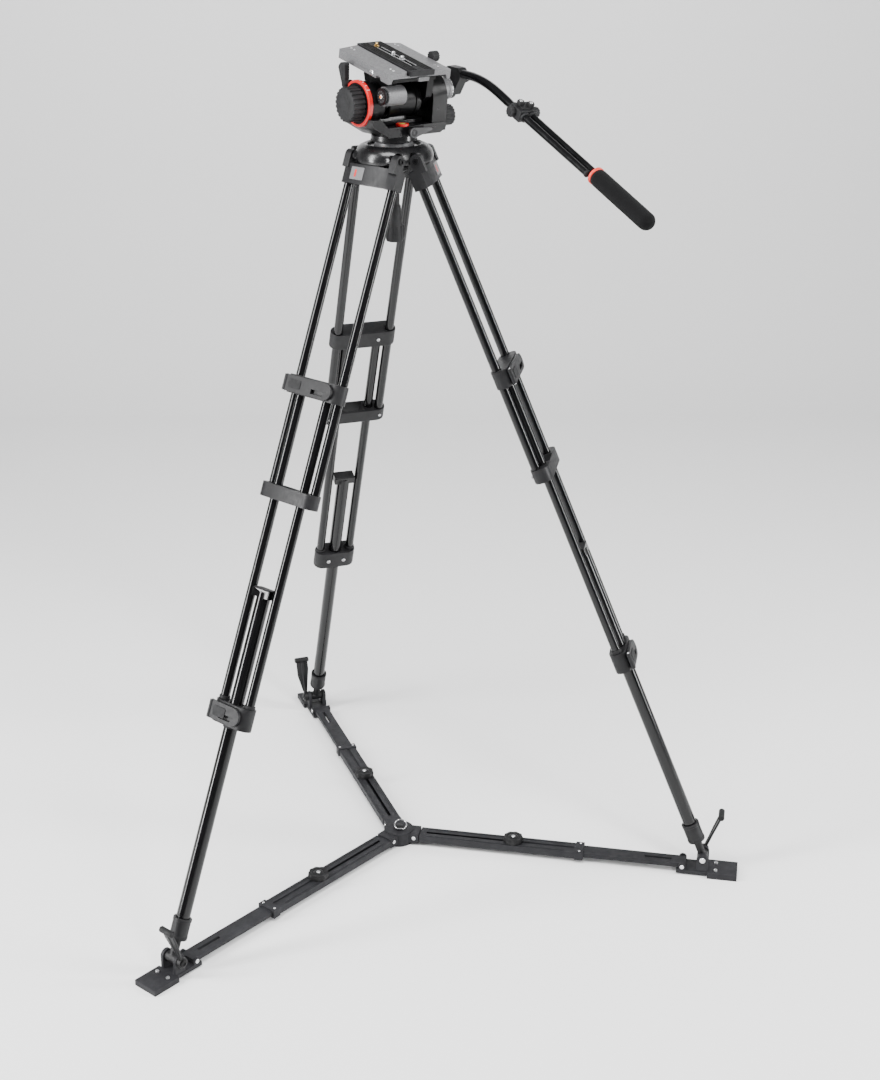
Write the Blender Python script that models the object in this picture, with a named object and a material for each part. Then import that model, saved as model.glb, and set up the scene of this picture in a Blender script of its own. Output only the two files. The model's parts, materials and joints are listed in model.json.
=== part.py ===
"""Camera tripod with twin-tube legs, a telescopic floor spreader and a fluid head.

Metres, +Z up. The origin is on the floor, under the centre of the spreader hub.
Each leg has a frame of its own: x outward, y along the spreader's tangent and
z up the leg from the floor. Each spreader arm has one too: x outward, y along
the tangent and z up. The head has x along the tilt axis and y to the front.
"""
import math

import bmesh
import bpy
from mathutils import Matrix, Vector

# Stance of the three legs
LEG_AZIMUTHS = [math.radians(-131.88 + 120.0 * leg) for leg in range(3)]
LEG_SLOPE = math.radians(22.43)
FLOOR_RADIUS = 0.6726
HINGE_RADIUS = 0.0546
HINGE_HEIGHT = 1.4970
HINGE_ALONG = HINGE_HEIGHT / math.cos(LEG_SLOPE)

# Leg tubes
TUBE_R = 0.0092
TUBE_BORE = 0.0075
OUTER_Y = 0.0556
OUTER_X = -0.0087
INNER_Y = 0.0345
LOWER_R = 0.0138
LOWER_BORE = 0.0120
FIT = 0.0003
SLIDE_FIT = 0.0006

# Places along a leg, from the floor
MID_LOCK = 1.172
GUIDE = 0.964
LOWER_LOCK = 0.530
LOWER_TOP = 0.779
LOWER_END = 0.092
CUP_TOP = 0.123
CUP_FLOOR = 0.085
CUP_PIVOT = 0.041
BRACKET_LOW = 1.566
BRACKET_HIGH = 1.603

# Spreader
ARM_Z = 0.0174
CHANNEL_END = 0.403
BAR_START = 0.236
BAR_END = 0.622
KNOB_RADIUS = 0.2525
SHOE_HINGE = 0.615
CUP_RADIUS = FLOOR_RADIUS - CUP_PIVOT * math.sin(LEG_SLOPE)
CUP_HEIGHT = CUP_PIVOT * math.cos(LEG_SLOPE)

# Bowl and head
BALL_Z = 1.516
BALL_R = 0.0375
BOWL_R = 0.0388
BOWL_OUTER = 0.0455
DOME_R = 0.0755
PAN_LOW = 1.5235
PAN_HIGH = 1.5365
NECK_R = 0.0435
TILT_Z = 1.600
ROSETTE_LIFT = 0.010
HEAD_AZIMUTH = math.radians(35.0)
PLATFORM_TILT = math.radians(11.3)
SHAFT_R = 0.0118
BAR_R = 0.0060
BAR_X = 0.147
BAR_SPACING = 0.009
BAR_SLOPE = math.radians(23.4)
BAR_JOINT_Y = -0.205
BAR_JOINT_Z = 1.588
FRONT_BAR_END = 0.212
GRIP_START = 0.218
GRIP_END = 0.3835
GRIP_R = 0.0165

# Colours: red, green, blue, roughness and metallic
FINISHES = {
    "gloss_tube": (0.012, 0.012, 0.013, 0.22, 0.0),
    "casting": (0.045, 0.045, 0.048, 0.55, 0.0),
    "spreader": (0.050, 0.050, 0.054, 0.62, 0.0),
    "dome": (0.018, 0.018, 0.020, 0.28, 0.0),
    "head_black": (0.022, 0.022, 0.024, 0.40, 0.0),
    "grey_alloy": (0.240, 0.240, 0.245, 0.50, 0.6),
    "rubber": (0.020, 0.020, 0.021, 0.80, 0.0),
    "foam": (0.014, 0.014, 0.014, 0.95, 0.0),
}


# ---------------------------------------------------------------- tools

def clear_scene():
    for item in list(bpy.data.objects):
        bpy.data.objects.remove(item, do_unlink=True)


def finish(name):
    """The material of that finish, made once."""
    if name in bpy.data.materials:
        return bpy.data.materials[name]
    red, green, blue, roughness, metallic = FINISHES[name]
    material = bpy.data.materials.new(name)
    material.use_nodes = True
    shader = material.node_tree.nodes["Principled BSDF"]
    shader.inputs["Base Color"].default_value = (red, green, blue, 1.0)
    shader.inputs["Roughness"].default_value = roughness
    shader.inputs["Metallic"].default_value = metallic
    return material


def solid(mesh_data, frame):
    """An object from a bmesh, with its faces turned out, placed by frame."""
    bmesh.ops.recalc_face_normals(mesh_data, faces=mesh_data.faces)
    mesh = bpy.data.meshes.new("solid")
    mesh_data.to_mesh(mesh)
    mesh_data.free()
    mesh.transform(frame)
    item = bpy.data.objects.new("solid", mesh)
    bpy.context.scene.collection.objects.link(item)
    return item


def block(frame, x, y, z):
    """A box between two limits on each axis."""
    data = bmesh.new()
    bmesh.ops.create_cube(data, size=1.0)
    size = Vector((x[1] - x[0], y[1] - y[0], z[1] - z[0]))
    centre = Vector((x[0] + x[1], y[0] + y[1], z[0] + z[1])) / 2
    bmesh.ops.scale(data, vec=size, verts=data.verts)
    bmesh.ops.translate(data, vec=centre, verts=data.verts)
    return solid(data, frame)


def rod(frame, start, end, radius, sides=16):
    """A round bar between two points."""
    run = Vector(end) - Vector(start)
    data = bmesh.new()
    bmesh.ops.create_cone(data, cap_ends=True, segments=sides, radius1=radius,
                          radius2=radius, depth=run.length)
    turn = run.to_track_quat("Z", "Y").to_matrix().to_4x4()
    middle = Matrix.Translation((Vector(start) + Vector(end)) / 2)
    bmesh.ops.transform(data, matrix=middle @ turn, verts=data.verts)
    return solid(data, frame)


def slab(frame, outline, low, high):
    """An outline of x, y points, extruded along z."""
    data = bmesh.new()
    lower = [data.verts.new((x, y, low)) for x, y in outline]
    upper = [data.verts.new((x, y, high)) for x, y in outline]
    data.faces.new(lower)
    data.faces.new(upper)
    for i in range(len(outline)):
        j = (i + 1) % len(outline)
        data.faces.new((lower[i], lower[j], upper[j], upper[i]))
    return solid(data, frame)


def across_slab(frame, outline, low, high):
    """An outline of x, z points, extruded along y."""
    return slab(frame @ Matrix.Rotation(math.radians(90.0), 4, "X"), outline, -high, -low)


def turned(frame, profile, sides=32):
    """A profile of radius, height points, turned about z. Radius 0 is a pole."""
    data = bmesh.new()
    rings = []
    for radius, height in profile:
        if radius == 0.0:
            rings.append([data.verts.new((0.0, 0.0, height))])
            continue
        ring = []
        for side in range(sides):
            angle = math.tau * side / sides
            point = (radius * math.cos(angle), radius * math.sin(angle), height)
            ring.append(data.verts.new(point))
        rings.append(ring)
    closed = len(rings[0]) > 1 and len(rings[-1]) > 1
    last = len(rings) if closed else len(rings) - 1
    for index in range(last):
        skin_rings(data, rings[index], rings[(index + 1) % len(rings)], sides)
    return solid(data, frame)


def skin_rings(data, low, high, sides):
    """Faces between two rings, either of which may be a pole."""
    if len(low) == 1 and len(high) == 1:
        return
    for side in range(sides):
        after = (side + 1) % sides
        if len(low) == 1:
            data.faces.new((low[0], high[side], high[after]))
        elif len(high) == 1:
            data.faces.new((low[side], low[after], high[0]))
        else:
            data.faces.new((low[side], low[after], high[after], high[side]))


def swept(frame, path, radius, sides=14):
    """A round bar along a path of y, z points in the plane x = 0."""
    data = bmesh.new()
    rings = []
    for index, (y, z) in enumerate(path):
        before = path[max(index - 1, 0)]
        after = path[min(index + 1, len(path) - 1)]
        run = Vector((0.0, after[0] - before[0], after[1] - before[1])).normalized()
        across = Vector((1.0, 0.0, 0.0))
        up = across.cross(run)
        ring = []
        for side in range(sides):
            angle = math.tau * side / sides
            offset = across * math.cos(angle) + up * math.sin(angle)
            ring.append(data.verts.new(Vector((0.0, y, z)) + offset * radius))
        rings.append(ring)
    for low, high in zip(rings, rings[1:]):
        skin_rings(data, low, high, sides)
    data.faces.new(rings[0])
    data.faces.new(rings[-1])
    return solid(data, frame)


def combine(base, others, operation):
    """The base joined with, or cut by, the others, which are used up."""
    for other in others:
        step = base.modifiers.new("step", "BOOLEAN")
        step.operation = operation
        step.solver = "EXACT"
        step.object = other
        graph = bpy.context.evaluated_depsgraph_get()
        mesh = bpy.data.meshes.new_from_object(base.evaluated_get(graph))
        base.modifiers.clear()
        base.data = mesh
        bpy.data.objects.remove(other, do_unlink=True)
    return base


def fuse(base, *others):
    return combine(base, others, "UNION")


def carve(base, *cutters):
    return combine(base, cutters, "DIFFERENCE")


def keep(item, name, finish_name, pivot=(0.0, 0.0, 0.0)):
    """Names a finished piece, gives it its material and its origin at pivot."""
    item.name = name
    item.data.name = name
    item.data.materials.clear()
    item.data.materials.append(finish(finish_name))
    item.data.transform(Matrix.Translation(-Vector(pivot)))
    item.location = pivot
    item.data.shade_smooth()
    item.data.set_sharp_from_angle(angle=math.radians(35.0))
    return item


# ---------------------------------------------------------------- frames

def leg_frame(azimuth):
    radial = Vector((math.cos(azimuth), math.sin(azimuth), 0.0))
    tangent = Vector((-math.sin(azimuth), math.cos(azimuth), 0.0))
    rise = Vector((0.0, 0.0, 1.0))
    outward = radial * math.cos(LEG_SLOPE) + rise * math.sin(LEG_SLOPE)
    along = rise * math.cos(LEG_SLOPE) - radial * math.sin(LEG_SLOPE)
    turn = Matrix((outward, tangent, along)).transposed().to_4x4()
    return Matrix.Translation(radial * FLOOR_RADIUS) @ turn


def arm_frame(azimuth):
    return Matrix.Rotation(azimuth, 4, "Z")


HEAD = Matrix.Rotation(HEAD_AZIMUTH, 4, "Z")
TILT = HEAD @ Matrix.Translation((0.0, 0.0, TILT_Z)) @ Matrix.Rotation(PLATFORM_TILT, 4, "X")
BAR = HEAD @ Matrix.Translation((BAR_X, BAR_JOINT_Y, BAR_JOINT_Z)) @ Matrix.Rotation(
    math.radians(90.0) + BAR_SLOPE, 4, "X")
SIDE = Matrix(((0, 0, 1, 0), (1, 0, 0, 0), (0, 1, 0, 0), (0, 0, 0, 1)))


def arc(centre, radius, start, end, steps):
    """Points on an arc, its angles in degrees."""
    points = []
    for step in range(steps + 1):
        angle = math.radians(start + (end - start) * step / steps)
        points.append((centre[0] + radius * math.cos(angle),
                       centre[1] + radius * math.sin(angle)))
    return points


def eye(x, z, radius, base, steps=12):
    """An upright tab outline with a round top centred on x, z."""
    return [(x - radius, base), (x + radius, base)] + arc((x, z), radius, 0.0, 180.0, steps)


def stadium(x, half_width, steps=4):
    """An outline with round ends at y = -half_width and half_width."""
    radius = (x[1] - x[0]) / 2
    middle = (x[0] + x[1]) / 2
    reach = half_width - radius
    return (arc((middle, reach), radius, 0.0, 180.0, steps * 2)
            + arc((middle, -reach), radius, 180.0, 360.0, steps * 2))


def ribbed(radius, depth, ribs):
    """A round outline with square ribs."""
    points = []
    for rib in range(ribs):
        for share, inset in ((0.0, 0.0), (0.5, 0.0), (0.58, depth), (0.92, depth)):
            angle = math.tau * (rib + share) / ribs
            reach = radius - inset
            points.append((reach * math.cos(angle), reach * math.sin(angle)))
    return points


# ---------------------------------------------------------------- legs

def along_leg(frame, x, y, low, high, radius, sides=16):
    return rod(frame, (x, y, low), (x, y, high), radius, sides)


def upper_frame(frame, name, hinge):
    """Two outer tubes bonded in the bracket that hinges on the bowl casting."""
    outline = [(-0.0225, -0.066), (0.002, -0.066), (0.0095, -0.050), (0.0115, 0.0),
               (0.0095, 0.050), (0.002, 0.066), (-0.0225, 0.066), (-0.0225, 0.042),
               (-0.001, 0.040), (-0.001, -0.040), (-0.0225, -0.042)]
    body = slab(frame, outline, BRACKET_LOW, BRACKET_HIGH)
    for side in (-1, 1):
        arm = eye(0.0, HINGE_ALONG, 0.0115, BRACKET_HIGH - 0.008)
        body = fuse(
            body,
            across_slab(frame, arm, *sorted((side * 0.0505, side * 0.0658))),
            along_leg(frame, OUTER_X, side * OUTER_Y, GUIDE - 0.014, 1.590, TUBE_R))
        body = carve(
            body,
            along_leg(frame, OUTER_X, side * OUTER_Y, GUIDE - 0.03, BRACKET_LOW - 0.006,
                      TUBE_BORE, 10),
            rod(frame, (0.0, side * 0.040, HINGE_ALONG), (0.0, side * 0.072, HINGE_ALONG),
                0.0056, 12))
    return keep(body, name, "gloss_tube", hinge)


def guide_collar(frame, name, hinge):
    """The band at the foot of the outer tubes that guides the inner tubes."""
    body = slab(frame, stadium((-0.0215, 0.0165), 0.0705), GUIDE - 0.014, GUIDE + 0.014)
    span = (GUIDE - 0.03, GUIDE + 0.03)
    for side in (-1, 1):
        body = carve(
            body,
            along_leg(frame, OUTER_X, side * OUTER_Y, *span, TUBE_R + FIT),
            along_leg(frame, 0.0, side * INNER_Y, *span, TUBE_R + SLIDE_FIT))
    body = carve(body, block(frame, (-0.0145, 0.0145), (-0.0235, 0.0235), span))
    return keep(body, name, "casting", hinge)


def mid_frame(frame, name, hinge):
    """Two inner tubes bonded in the casting that clamps the lower tube."""
    low, high = LOWER_LOCK - 0.0215, LOWER_LOCK + 0.0215
    body = slab(frame, stadium((-0.0185, 0.0185), 0.047), low, high)
    top = MID_LOCK + 0.0095
    for side in (-1, 1):
        body = fuse(body, along_leg(frame, 0.0, side * INNER_Y, low + 0.003, top, TUBE_R))
        body = carve(body, along_leg(frame, 0.0, side * INNER_Y, high + 0.006, top + 0.01,
                                     TUBE_BORE, 10))
    hole = along_leg(frame, 0.0, 0.0, low - 0.01, high + 0.01, LOWER_R + SLIDE_FIT, 20)
    body = carve(body, hole)
    return keep(body, name, "gloss_tube", hinge)


def mid_lock(frame, name, hinge):
    """The casting on top of the inner tubes that clamps the outer tubes."""
    body = slab(frame, stadium((-0.0215, 0.0145), 0.0705), MID_LOCK - 0.018, MID_LOCK + 0.018)
    for side in (-1, 1):
        body = carve(
            body,
            along_leg(frame, OUTER_X, side * OUTER_Y, MID_LOCK - 0.03, MID_LOCK + 0.03,
                      TUBE_R + SLIDE_FIT),
            along_leg(frame, 0.0, side * INNER_Y, MID_LOCK - 0.03, MID_LOCK + 0.010,
                      TUBE_R + FIT))
    return keep(body, name, "casting", hinge)


def lock_lever(frame, name, place, face, start, reach, half_height):
    """A flap lever with a finger slot, hinged at its start and round at its free end."""
    tip = reach - half_height
    outline = ([(start, place - half_height)]
               + arc((tip, place), half_height, -90.0, 90.0, 8)
               + [(start, place + half_height)])
    sideways = frame @ SIDE
    body = slab(sideways, outline, face, face + 0.0060)
    barrel = (face + 0.0032, start)
    body = fuse(body, along_leg(frame, *barrel, place - half_height + 0.0007,
                                place + half_height - 0.0007, 0.0048, 12))
    slot = [(tip - 0.034, place - 0.0015), (tip - 0.034, place - half_height * 0.62),
            (tip - 0.004, place - half_height * 0.62), (tip + 0.004, place - 0.0015)]
    body = carve(body, slab(sideways, slot, face - 0.01, face + 0.02))
    pivot = frame @ Vector((*barrel, place))
    return keep(body, name, "casting", pivot)


def lower_tube(frame, name, hinge):
    """The single lower tube, with the guide block on its top."""
    body = along_leg(frame, 0.0, 0.0, LOWER_END, LOWER_TOP - 0.006, LOWER_R, 20)
    cap = block(frame, (-0.0120, 0.0120), (-0.0225, 0.0225), (LOWER_TOP - 0.016, LOWER_TOP))
    body = fuse(body, cap)
    bore = along_leg(frame, 0.0, 0.0, LOWER_END - 0.01, LOWER_TOP - 0.020, LOWER_BORE, 20)
    return keep(carve(body, bore), name, "gloss_tube", hinge)


def foot_cup(frame, name):
    """The cup that takes the foot of the leg and pivots on the shoe."""
    body = along_leg(frame, 0.0, 0.0, 0.080, CUP_TOP, 0.0180, 20)
    body = fuse(
        body,
        along_leg(frame, 0.0, 0.0, CUP_PIVOT + 0.001, 0.0825, 0.0086, 12),
        rod(frame, (0.0, -0.0125, CUP_PIVOT), (0.0, 0.0125, CUP_PIVOT), 0.0100, 20))
    body = carve(
        body,
        along_leg(frame, 0.0, 0.0, CUP_FLOOR, CUP_TOP + 0.01, LOWER_R + SLIDE_FIT, 20),
        rod(frame, (0.0, -0.02, CUP_PIVOT), (0.0, 0.02, CUP_PIVOT), 0.0046, 12))
    return keep(body, name, "casting", frame @ Vector((0.0, 0.0, CUP_PIVOT)))


# ---------------------------------------------------------------- spreader

def across_arm(frame, radius, height, low, high, size, sides=16):
    return rod(frame, (radius, low, height), (radius, high, height), size, sides)


def shoe(frame, name):
    """The floor shoe, with a fork for the cup and a fork for the arm."""
    body = block(frame, (0.6680, 0.7300), (-0.0290, 0.0290), (0.0, 0.0120))
    body = fuse(body, block(frame, (0.6030, 0.6700), (-0.0225, 0.0225), (0.0030, 0.0115)))
    for side in (-1, 1):
        fork = sorted((side * 0.0145, side * 0.0215))
        ears = sorted((side * 0.0180, side * 0.0222))
        body = fuse(
            body,
            across_slab(frame, eye(CUP_RADIUS, CUP_HEIGHT, 0.0125, 0.0080), *fork),
            across_slab(frame, eye(SHOE_HINGE, ARM_Z, 0.0080, 0.0070), *ears))
    body = fuse(
        body,
        across_arm(frame, CUP_RADIUS, CUP_HEIGHT, -0.0200, 0.0200, 0.0040, 12),
        across_arm(frame, SHOE_HINGE, ARM_Z, -0.0210, 0.0210, 0.0030, 12))
    return keep(body, name, "spreader")


def foot_lever(frame, name):
    """The lever that clamps the cup, with a thumb bar across its end."""
    side = 0.0222
    tip = (CUP_RADIUS + 0.033, side + 0.0042, CUP_HEIGHT + 0.086)
    body = across_arm(frame, CUP_RADIUS, CUP_HEIGHT, side, side + 0.0085, 0.0110, 16)
    body = fuse(
        body,
        rod(frame, (CUP_RADIUS + 0.002, side + 0.0042, CUP_HEIGHT + 0.004), tip, 0.0040, 12),
        across_arm(frame, tip[0], tip[2], side - 0.0110, side + 0.0200, 0.0062, 16))
    return keep(body, name, "casting", frame @ Vector((CUP_RADIUS, side, CUP_HEIGHT)))


def channel(frame, name):
    """The inner arm: a slotted channel in which the outer bar slides."""
    body = block(frame, (0.0490, CHANNEL_END), (-0.0200, 0.0200), (0.0100, 0.0245))
    body = fuse(
        body,
        block(frame, (0.0300, 0.0520), (-0.0120, 0.0120), (0.0110, 0.0235)),
        block(frame, (CHANNEL_END - 0.0160, CHANNEL_END + 0.0020), (-0.0225, 0.0225),
              (0.0080, 0.0265)))
    body = carve(
        body,
        block(frame, (0.0530, CHANNEL_END + 0.02), (-0.0176, 0.0176), (0.0120, 0.0228)),
        block(frame, (0.0620, 0.3840), (-0.0034, 0.0034), (0.0200, 0.0300)),
        across_arm(frame, 0.0370, ARM_Z, -0.02, 0.02, 0.0036, 12))
    return keep(body, name, "spreader")


def outer_bar(frame, name):
    """The sliding bar that carries the shoe."""
    body = block(frame, (BAR_START, BAR_END), (-0.0170, 0.0170), (0.0126, 0.0222))
    body = carve(
        body,
        block(frame, (0.5350, 0.5920), (-0.0032, 0.0032), (0.0, 0.04)),
        rod(frame, (KNOB_RADIUS, 0.0, 0.0), (KNOB_RADIUS, 0.0, 0.04), 0.0035, 12),
        across_arm(frame, SHOE_HINGE, ARM_Z, -0.03, 0.03, 0.0036, 12))
    return keep(body, name, "spreader")


def arm_knob(frame, name):
    """The lobed knob whose bolt clamps the bar in the channel."""
    outline = []
    for step in range(36):
        angle = math.tau * step / 36
        reach = 0.0202 + 0.0010 * math.cos(9 * angle)
        outline.append((reach * math.cos(angle), reach * math.sin(angle)))
    here = frame @ Matrix.Translation((KNOB_RADIUS, 0.0, 0.0))
    body = slab(here, outline, 0.0252, 0.0370)
    body = fuse(body, rod(here, (0.0, 0.0, 0.0140), (0.0, 0.0, 0.0300), 0.0028, 12))
    body = carve(body, rod(here, (0.0, 0.0, 0.0350), (0.0, 0.0, 0.0450), 0.0130, 20))
    return keep(body, name, "rubber", here @ Vector((0.0, 0.0, 0.0)))


def hub():
    """The three-lobed hub, flat underneath, with a fork and a pin for each arm."""
    body = rod(Matrix(), (0.0, 0.0, 0.0), (0.0, 0.0, 0.0290), 0.0320, 24)
    for azimuth in LEG_AZIMUTHS:
        body = fuse(body, block(arm_frame(azimuth), (0.0100, 0.0470), (-0.0190, 0.0190),
                                (0.0060, 0.0275)))
    for azimuth in LEG_AZIMUTHS:
        body = carve(body, block(arm_frame(azimuth), (0.0290, 0.0600), (-0.0125, 0.0125),
                                 (0.0104, 0.0241)))
    for azimuth in LEG_AZIMUTHS:
        body = fuse(body, across_arm(arm_frame(azimuth), 0.0370, ARM_Z, -0.0160, 0.0160,
                                     0.0030, 12))
    body = fuse(body, rod(Matrix(), (0.0, 0.0, 0.0280), (0.0, 0.0, 0.0320), 0.0120, 20))
    return keep(body, "spreader_hub", "spreader")


# ---------------------------------------------------------------- bowl

def bowl_arc(radius, start, end, steps):
    """Radius and height points on a sphere about the ball's centre."""
    return arc((0.0, BALL_Z), radius, start, end, steps)


def top_casting():
    """The bowl casting, with its dome skirt, the leg lugs and their pins."""
    profile = (bowl_arc(BOWL_R, -3.0, -55.0, 4) + bowl_arc(BOWL_OUTER, -61.0, -26.0, 2)
               + [(0.0500, 1.4920), (0.0680, 1.4890), (0.0745, 1.4882), (DOME_R, 1.4925),
                  (DOME_R, 1.4980), (0.0725, 1.5080), (0.0650, 1.5158), (0.0560, 1.5195),
                  (0.0510, 1.5180), (0.0500, 1.5140)])
    body = turned(Matrix(), profile, 30)
    for azimuth in LEG_AZIMUTHS:
        body = fuse(body, across_arm(arm_frame(azimuth), HINGE_RADIUS, HINGE_HEIGHT,
                                     -0.0470, 0.0470, 0.0105, 20))
    for azimuth in LEG_AZIMUTHS:
        for side in (-1, 1):
            sides = sorted((side * 0.0486, side * 0.0674))
            body = carve(body, block(arm_frame(azimuth), (0.0425, 0.0900), sides,
                                     (1.4700, 1.5105)))
    for azimuth in LEG_AZIMUTHS:
        body = fuse(body, across_arm(arm_frame(azimuth), HINGE_RADIUS, HINGE_HEIGHT,
                                     -0.0645, 0.0645, 0.0048, 12))
    return keep(body, "top_casting", "dome")


def half_ball():
    """The levelling half ball, with its flange above and its stud below."""
    seat = math.degrees(math.acos(0.0060 / BALL_R))
    profile = ([(0.0, 1.4500), (0.0060, 1.4500)] + bowl_arc(BALL_R, -seat, 0.0, 6)
               + [(0.0355, 1.5230), (0.0, 1.5230)])
    return keep(turned(Matrix(), profile, 26), "half_ball", "grey_alloy",
                (0.0, 0.0, BALL_Z))


def levelling_handle():
    """The clamp cup, rod and grip that screw up under the bowl."""
    profile = ([(0.0, 1.4450), (0.0066, 1.4450)] + bowl_arc(0.0463, -81.8, -57.0, 4)
               + [(0.0285, 1.4755), (0.0275, 1.4695), (0.0130, 1.4610), (0.0100, 1.4560),
                  (0.0100, 1.4020), (0.0125, 1.3990), (0.0140, 1.3660), (0.0165, 1.3630),
                  (0.0172, 1.3360), (0.0155, 1.3305), (0.0, 1.3300)])
    return keep(turned(Matrix(), profile, 20), "levelling_handle", "rubber")


# ---------------------------------------------------------------- head

def along_axis(frame, y, z, low, high, radius, sides=24):
    return rod(frame, (low, y, z), (high, y, z), radius, sides)


def pan_base():
    profile = [(0.0, PAN_LOW + FIT), (0.0405, PAN_LOW + FIT), (NECK_R, 1.5265),
               (NECK_R, PAN_HIGH), (0.0, PAN_HIGH)]
    return keep(turned(Matrix(), profile, 30), "pan_base", "dome")


def head_housing():
    """The panning body: a floor, the tilt drag drum on the left, a cheek on the right."""
    floor = [(-0.042, 1.5372), (0.076, 1.5372), (0.0888, 1.5470), (0.0888, 1.5560),
             (-0.044, 1.5560), (-0.060, 1.5720), (-0.082, 1.5740), (-0.076, 1.5580)]
    body = across_slab(HEAD, floor, -0.0460, 0.0450)
    cheek = ([(-0.0425, 1.5400), (0.0425, 1.5400)]
             + arc((0.0, TILT_Z), 0.0500, -14.0, 194.0, 16))
    body = fuse(
        body,
        along_axis(HEAD, 0.0, TILT_Z, -0.0840, -0.0600, 0.0395, 36),
        along_axis(HEAD, 0.0, TILT_Z, -0.0610, -0.0440, 0.0360, 36),
        slab(HEAD @ SIDE, cheek, 0.0560, 0.0895),
        along_axis(HEAD, -0.0150, 1.5630, 0.0800, 0.0975, 0.0165, 24),
        along_axis(HEAD, 0.0340, 1.6320, -0.0795, -0.0725, 0.0075, 16))
    body = carve(body, along_axis(HEAD, 0.0, TILT_Z, -0.0700, 0.1000, SHAFT_R + 0.0007, 24))
    return keep(body, "head_housing", "head_black")


def tilt_cradle():
    """The tilt shaft, two webs, the counterbalance drum and the bar's rosette."""
    web = ([(-0.0440, 0.0562), (-0.0440, 0.0150)] + arc((0.0, 0.0), 0.0240, 200.0, 340.0, 10)
           + [(0.0440, 0.0400), (0.0440, 0.0562)])
    body = along_axis(TILT, 0.0, 0.0, -0.0680, 0.1000, SHAFT_R, 24)
    body = fuse(
        body,
        slab(TILT @ SIDE, web, -0.0432, -0.0310),
        slab(TILT @ SIDE, web, 0.0410, 0.0550),
        block(TILT, (-0.0425, 0.0545), (-0.0500, 0.0600), (0.0500, 0.0560)),
        along_axis(TILT, -0.0498, 0.0270, -0.0595, -0.0200, 0.0180, 28),
        along_axis(TILT, 0.0020, 0.0098, 0.0905, 0.1250, 0.0205, 28))
    return keep(body, "tilt_cradle", "grey_alloy", (0.0, 0.0, TILT_Z))


def platform():
    """The top casting, with sloped wings and the channel for the camera plate."""
    section = [(-0.070, 0.0570), (-0.070, 0.0750), (-0.030, 0.0785), (-0.030, 0.0700),
               (0.030, 0.0700), (0.030, 0.0785), (0.070, 0.0750), (0.070, 0.0570),
               (0.0625, 0.0570), (0.060, 0.0655), (-0.060, 0.0655), (-0.0625, 0.0570)]
    body = across_slab(TILT, section, -0.0730, 0.0930)
    body = fuse(body, block(TILT, (-0.0400, 0.0520), (-0.0450, 0.0550), (0.0566, 0.0680)))
    body = carve(body, along_axis(TILT, -0.0400, 0.0550, -0.0800, -0.0560, 0.0085, 20))
    return keep(body, "platform", "grey_alloy", (0.0, 0.0, TILT_Z))


def camera_plate():
    """The sliding plate, with the slot for the camera screws."""
    body = block(TILT, (-0.0270, 0.0270), (-0.0810, 0.0980), (0.0706, 0.0805))
    body = carve(body, block(TILT, (-0.0045, 0.0045), (-0.0520, 0.0640), (0.0600, 0.0900)))
    return keep(body, "camera_plate", "rubber", (0.0, 0.0, TILT_Z))


def ribbed_knob(frame, name, radius, depth, ribs, low, high, finish_name):
    """A ribbed knob on the x axis of its frame."""
    body = slab(frame @ SIDE, ribbed(radius, depth, ribs), low, high)
    pivot = frame @ Vector((0.0, 0.0, 0.0))
    return keep(body, name, finish_name, pivot)


def head_knobs():
    drag = HEAD @ Matrix.Translation((0.0, 0.0, TILT_Z))
    ribbed_knob(drag, "tilt_drag_knob", 0.0325, 0.0022, 22, -0.1100, -0.0846, "rubber")
    pan_drag = HEAD @ Matrix.Translation((0.0, -0.0150, 1.5630))
    ribbed_knob(pan_drag, "pan_drag_knob", 0.0200, 0.0015, 18, 0.0982, 0.1200, "rubber")
    dial = TILT @ Matrix.Translation((0.0, -0.0498, 0.0270))
    ribbed_knob(dial, "counterbalance_knob", 0.0155, 0.0010, 16, -0.0660, -0.0600, "rubber")
    lock = TILT @ Matrix.Translation((0.0, -0.0050, 0.0780))
    ribbed_knob(lock, "plate_lock_knob", 0.0100, 0.0010, 12, 0.0706, 0.0860, "rubber")


def head_levers():
    pan = rod(HEAD, (0.006, -0.0575, 1.5445), (0.006, -0.0465, 1.5445), 0.0068, 16)
    grip = [(0.006, 1.5385), (0.030, 1.5400), (0.0400, 1.5450), (0.0390, 1.5500),
            (0.006, 1.5505)]
    pan = fuse(pan, across_slab(HEAD, grip, -0.0565, -0.0485))
    keep(pan, "pan_lock_lever", "rubber", HEAD @ Vector((0.006, -0.05, 1.5445)))
    tilt = along_axis(HEAD, 0.0340, 1.6320, -0.0900, -0.0800, 0.0065, 16)
    paddle = [(0.0275, 1.6340), (0.0400, 1.6290), (0.0520, 1.6620), (0.0480, 1.6680),
              (0.0400, 1.6700)]
    tilt = fuse(tilt, slab(HEAD @ SIDE, paddle, -0.0893, -0.0807))
    keep(tilt, "tilt_lock_lever", "rubber", HEAD @ Vector((-0.085, 0.0340, 1.6320)))


# ---------------------------------------------------------------- pan bar

ROSETTE = HEAD @ Vector((BAR_X, 0.0, TILT_Z + ROSETTE_LIFT))
FRONT_START = (0.004, 1.6405)
FRONT_STRAIGHT = (-0.045, 1.6385)


def bar_point(along):
    """The y and z of a point along the straight stretch of the bar."""
    return (BAR_JOINT_Y - along * math.cos(BAR_SLOPE),
            BAR_JOINT_Z - along * math.sin(BAR_SLOPE))


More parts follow.
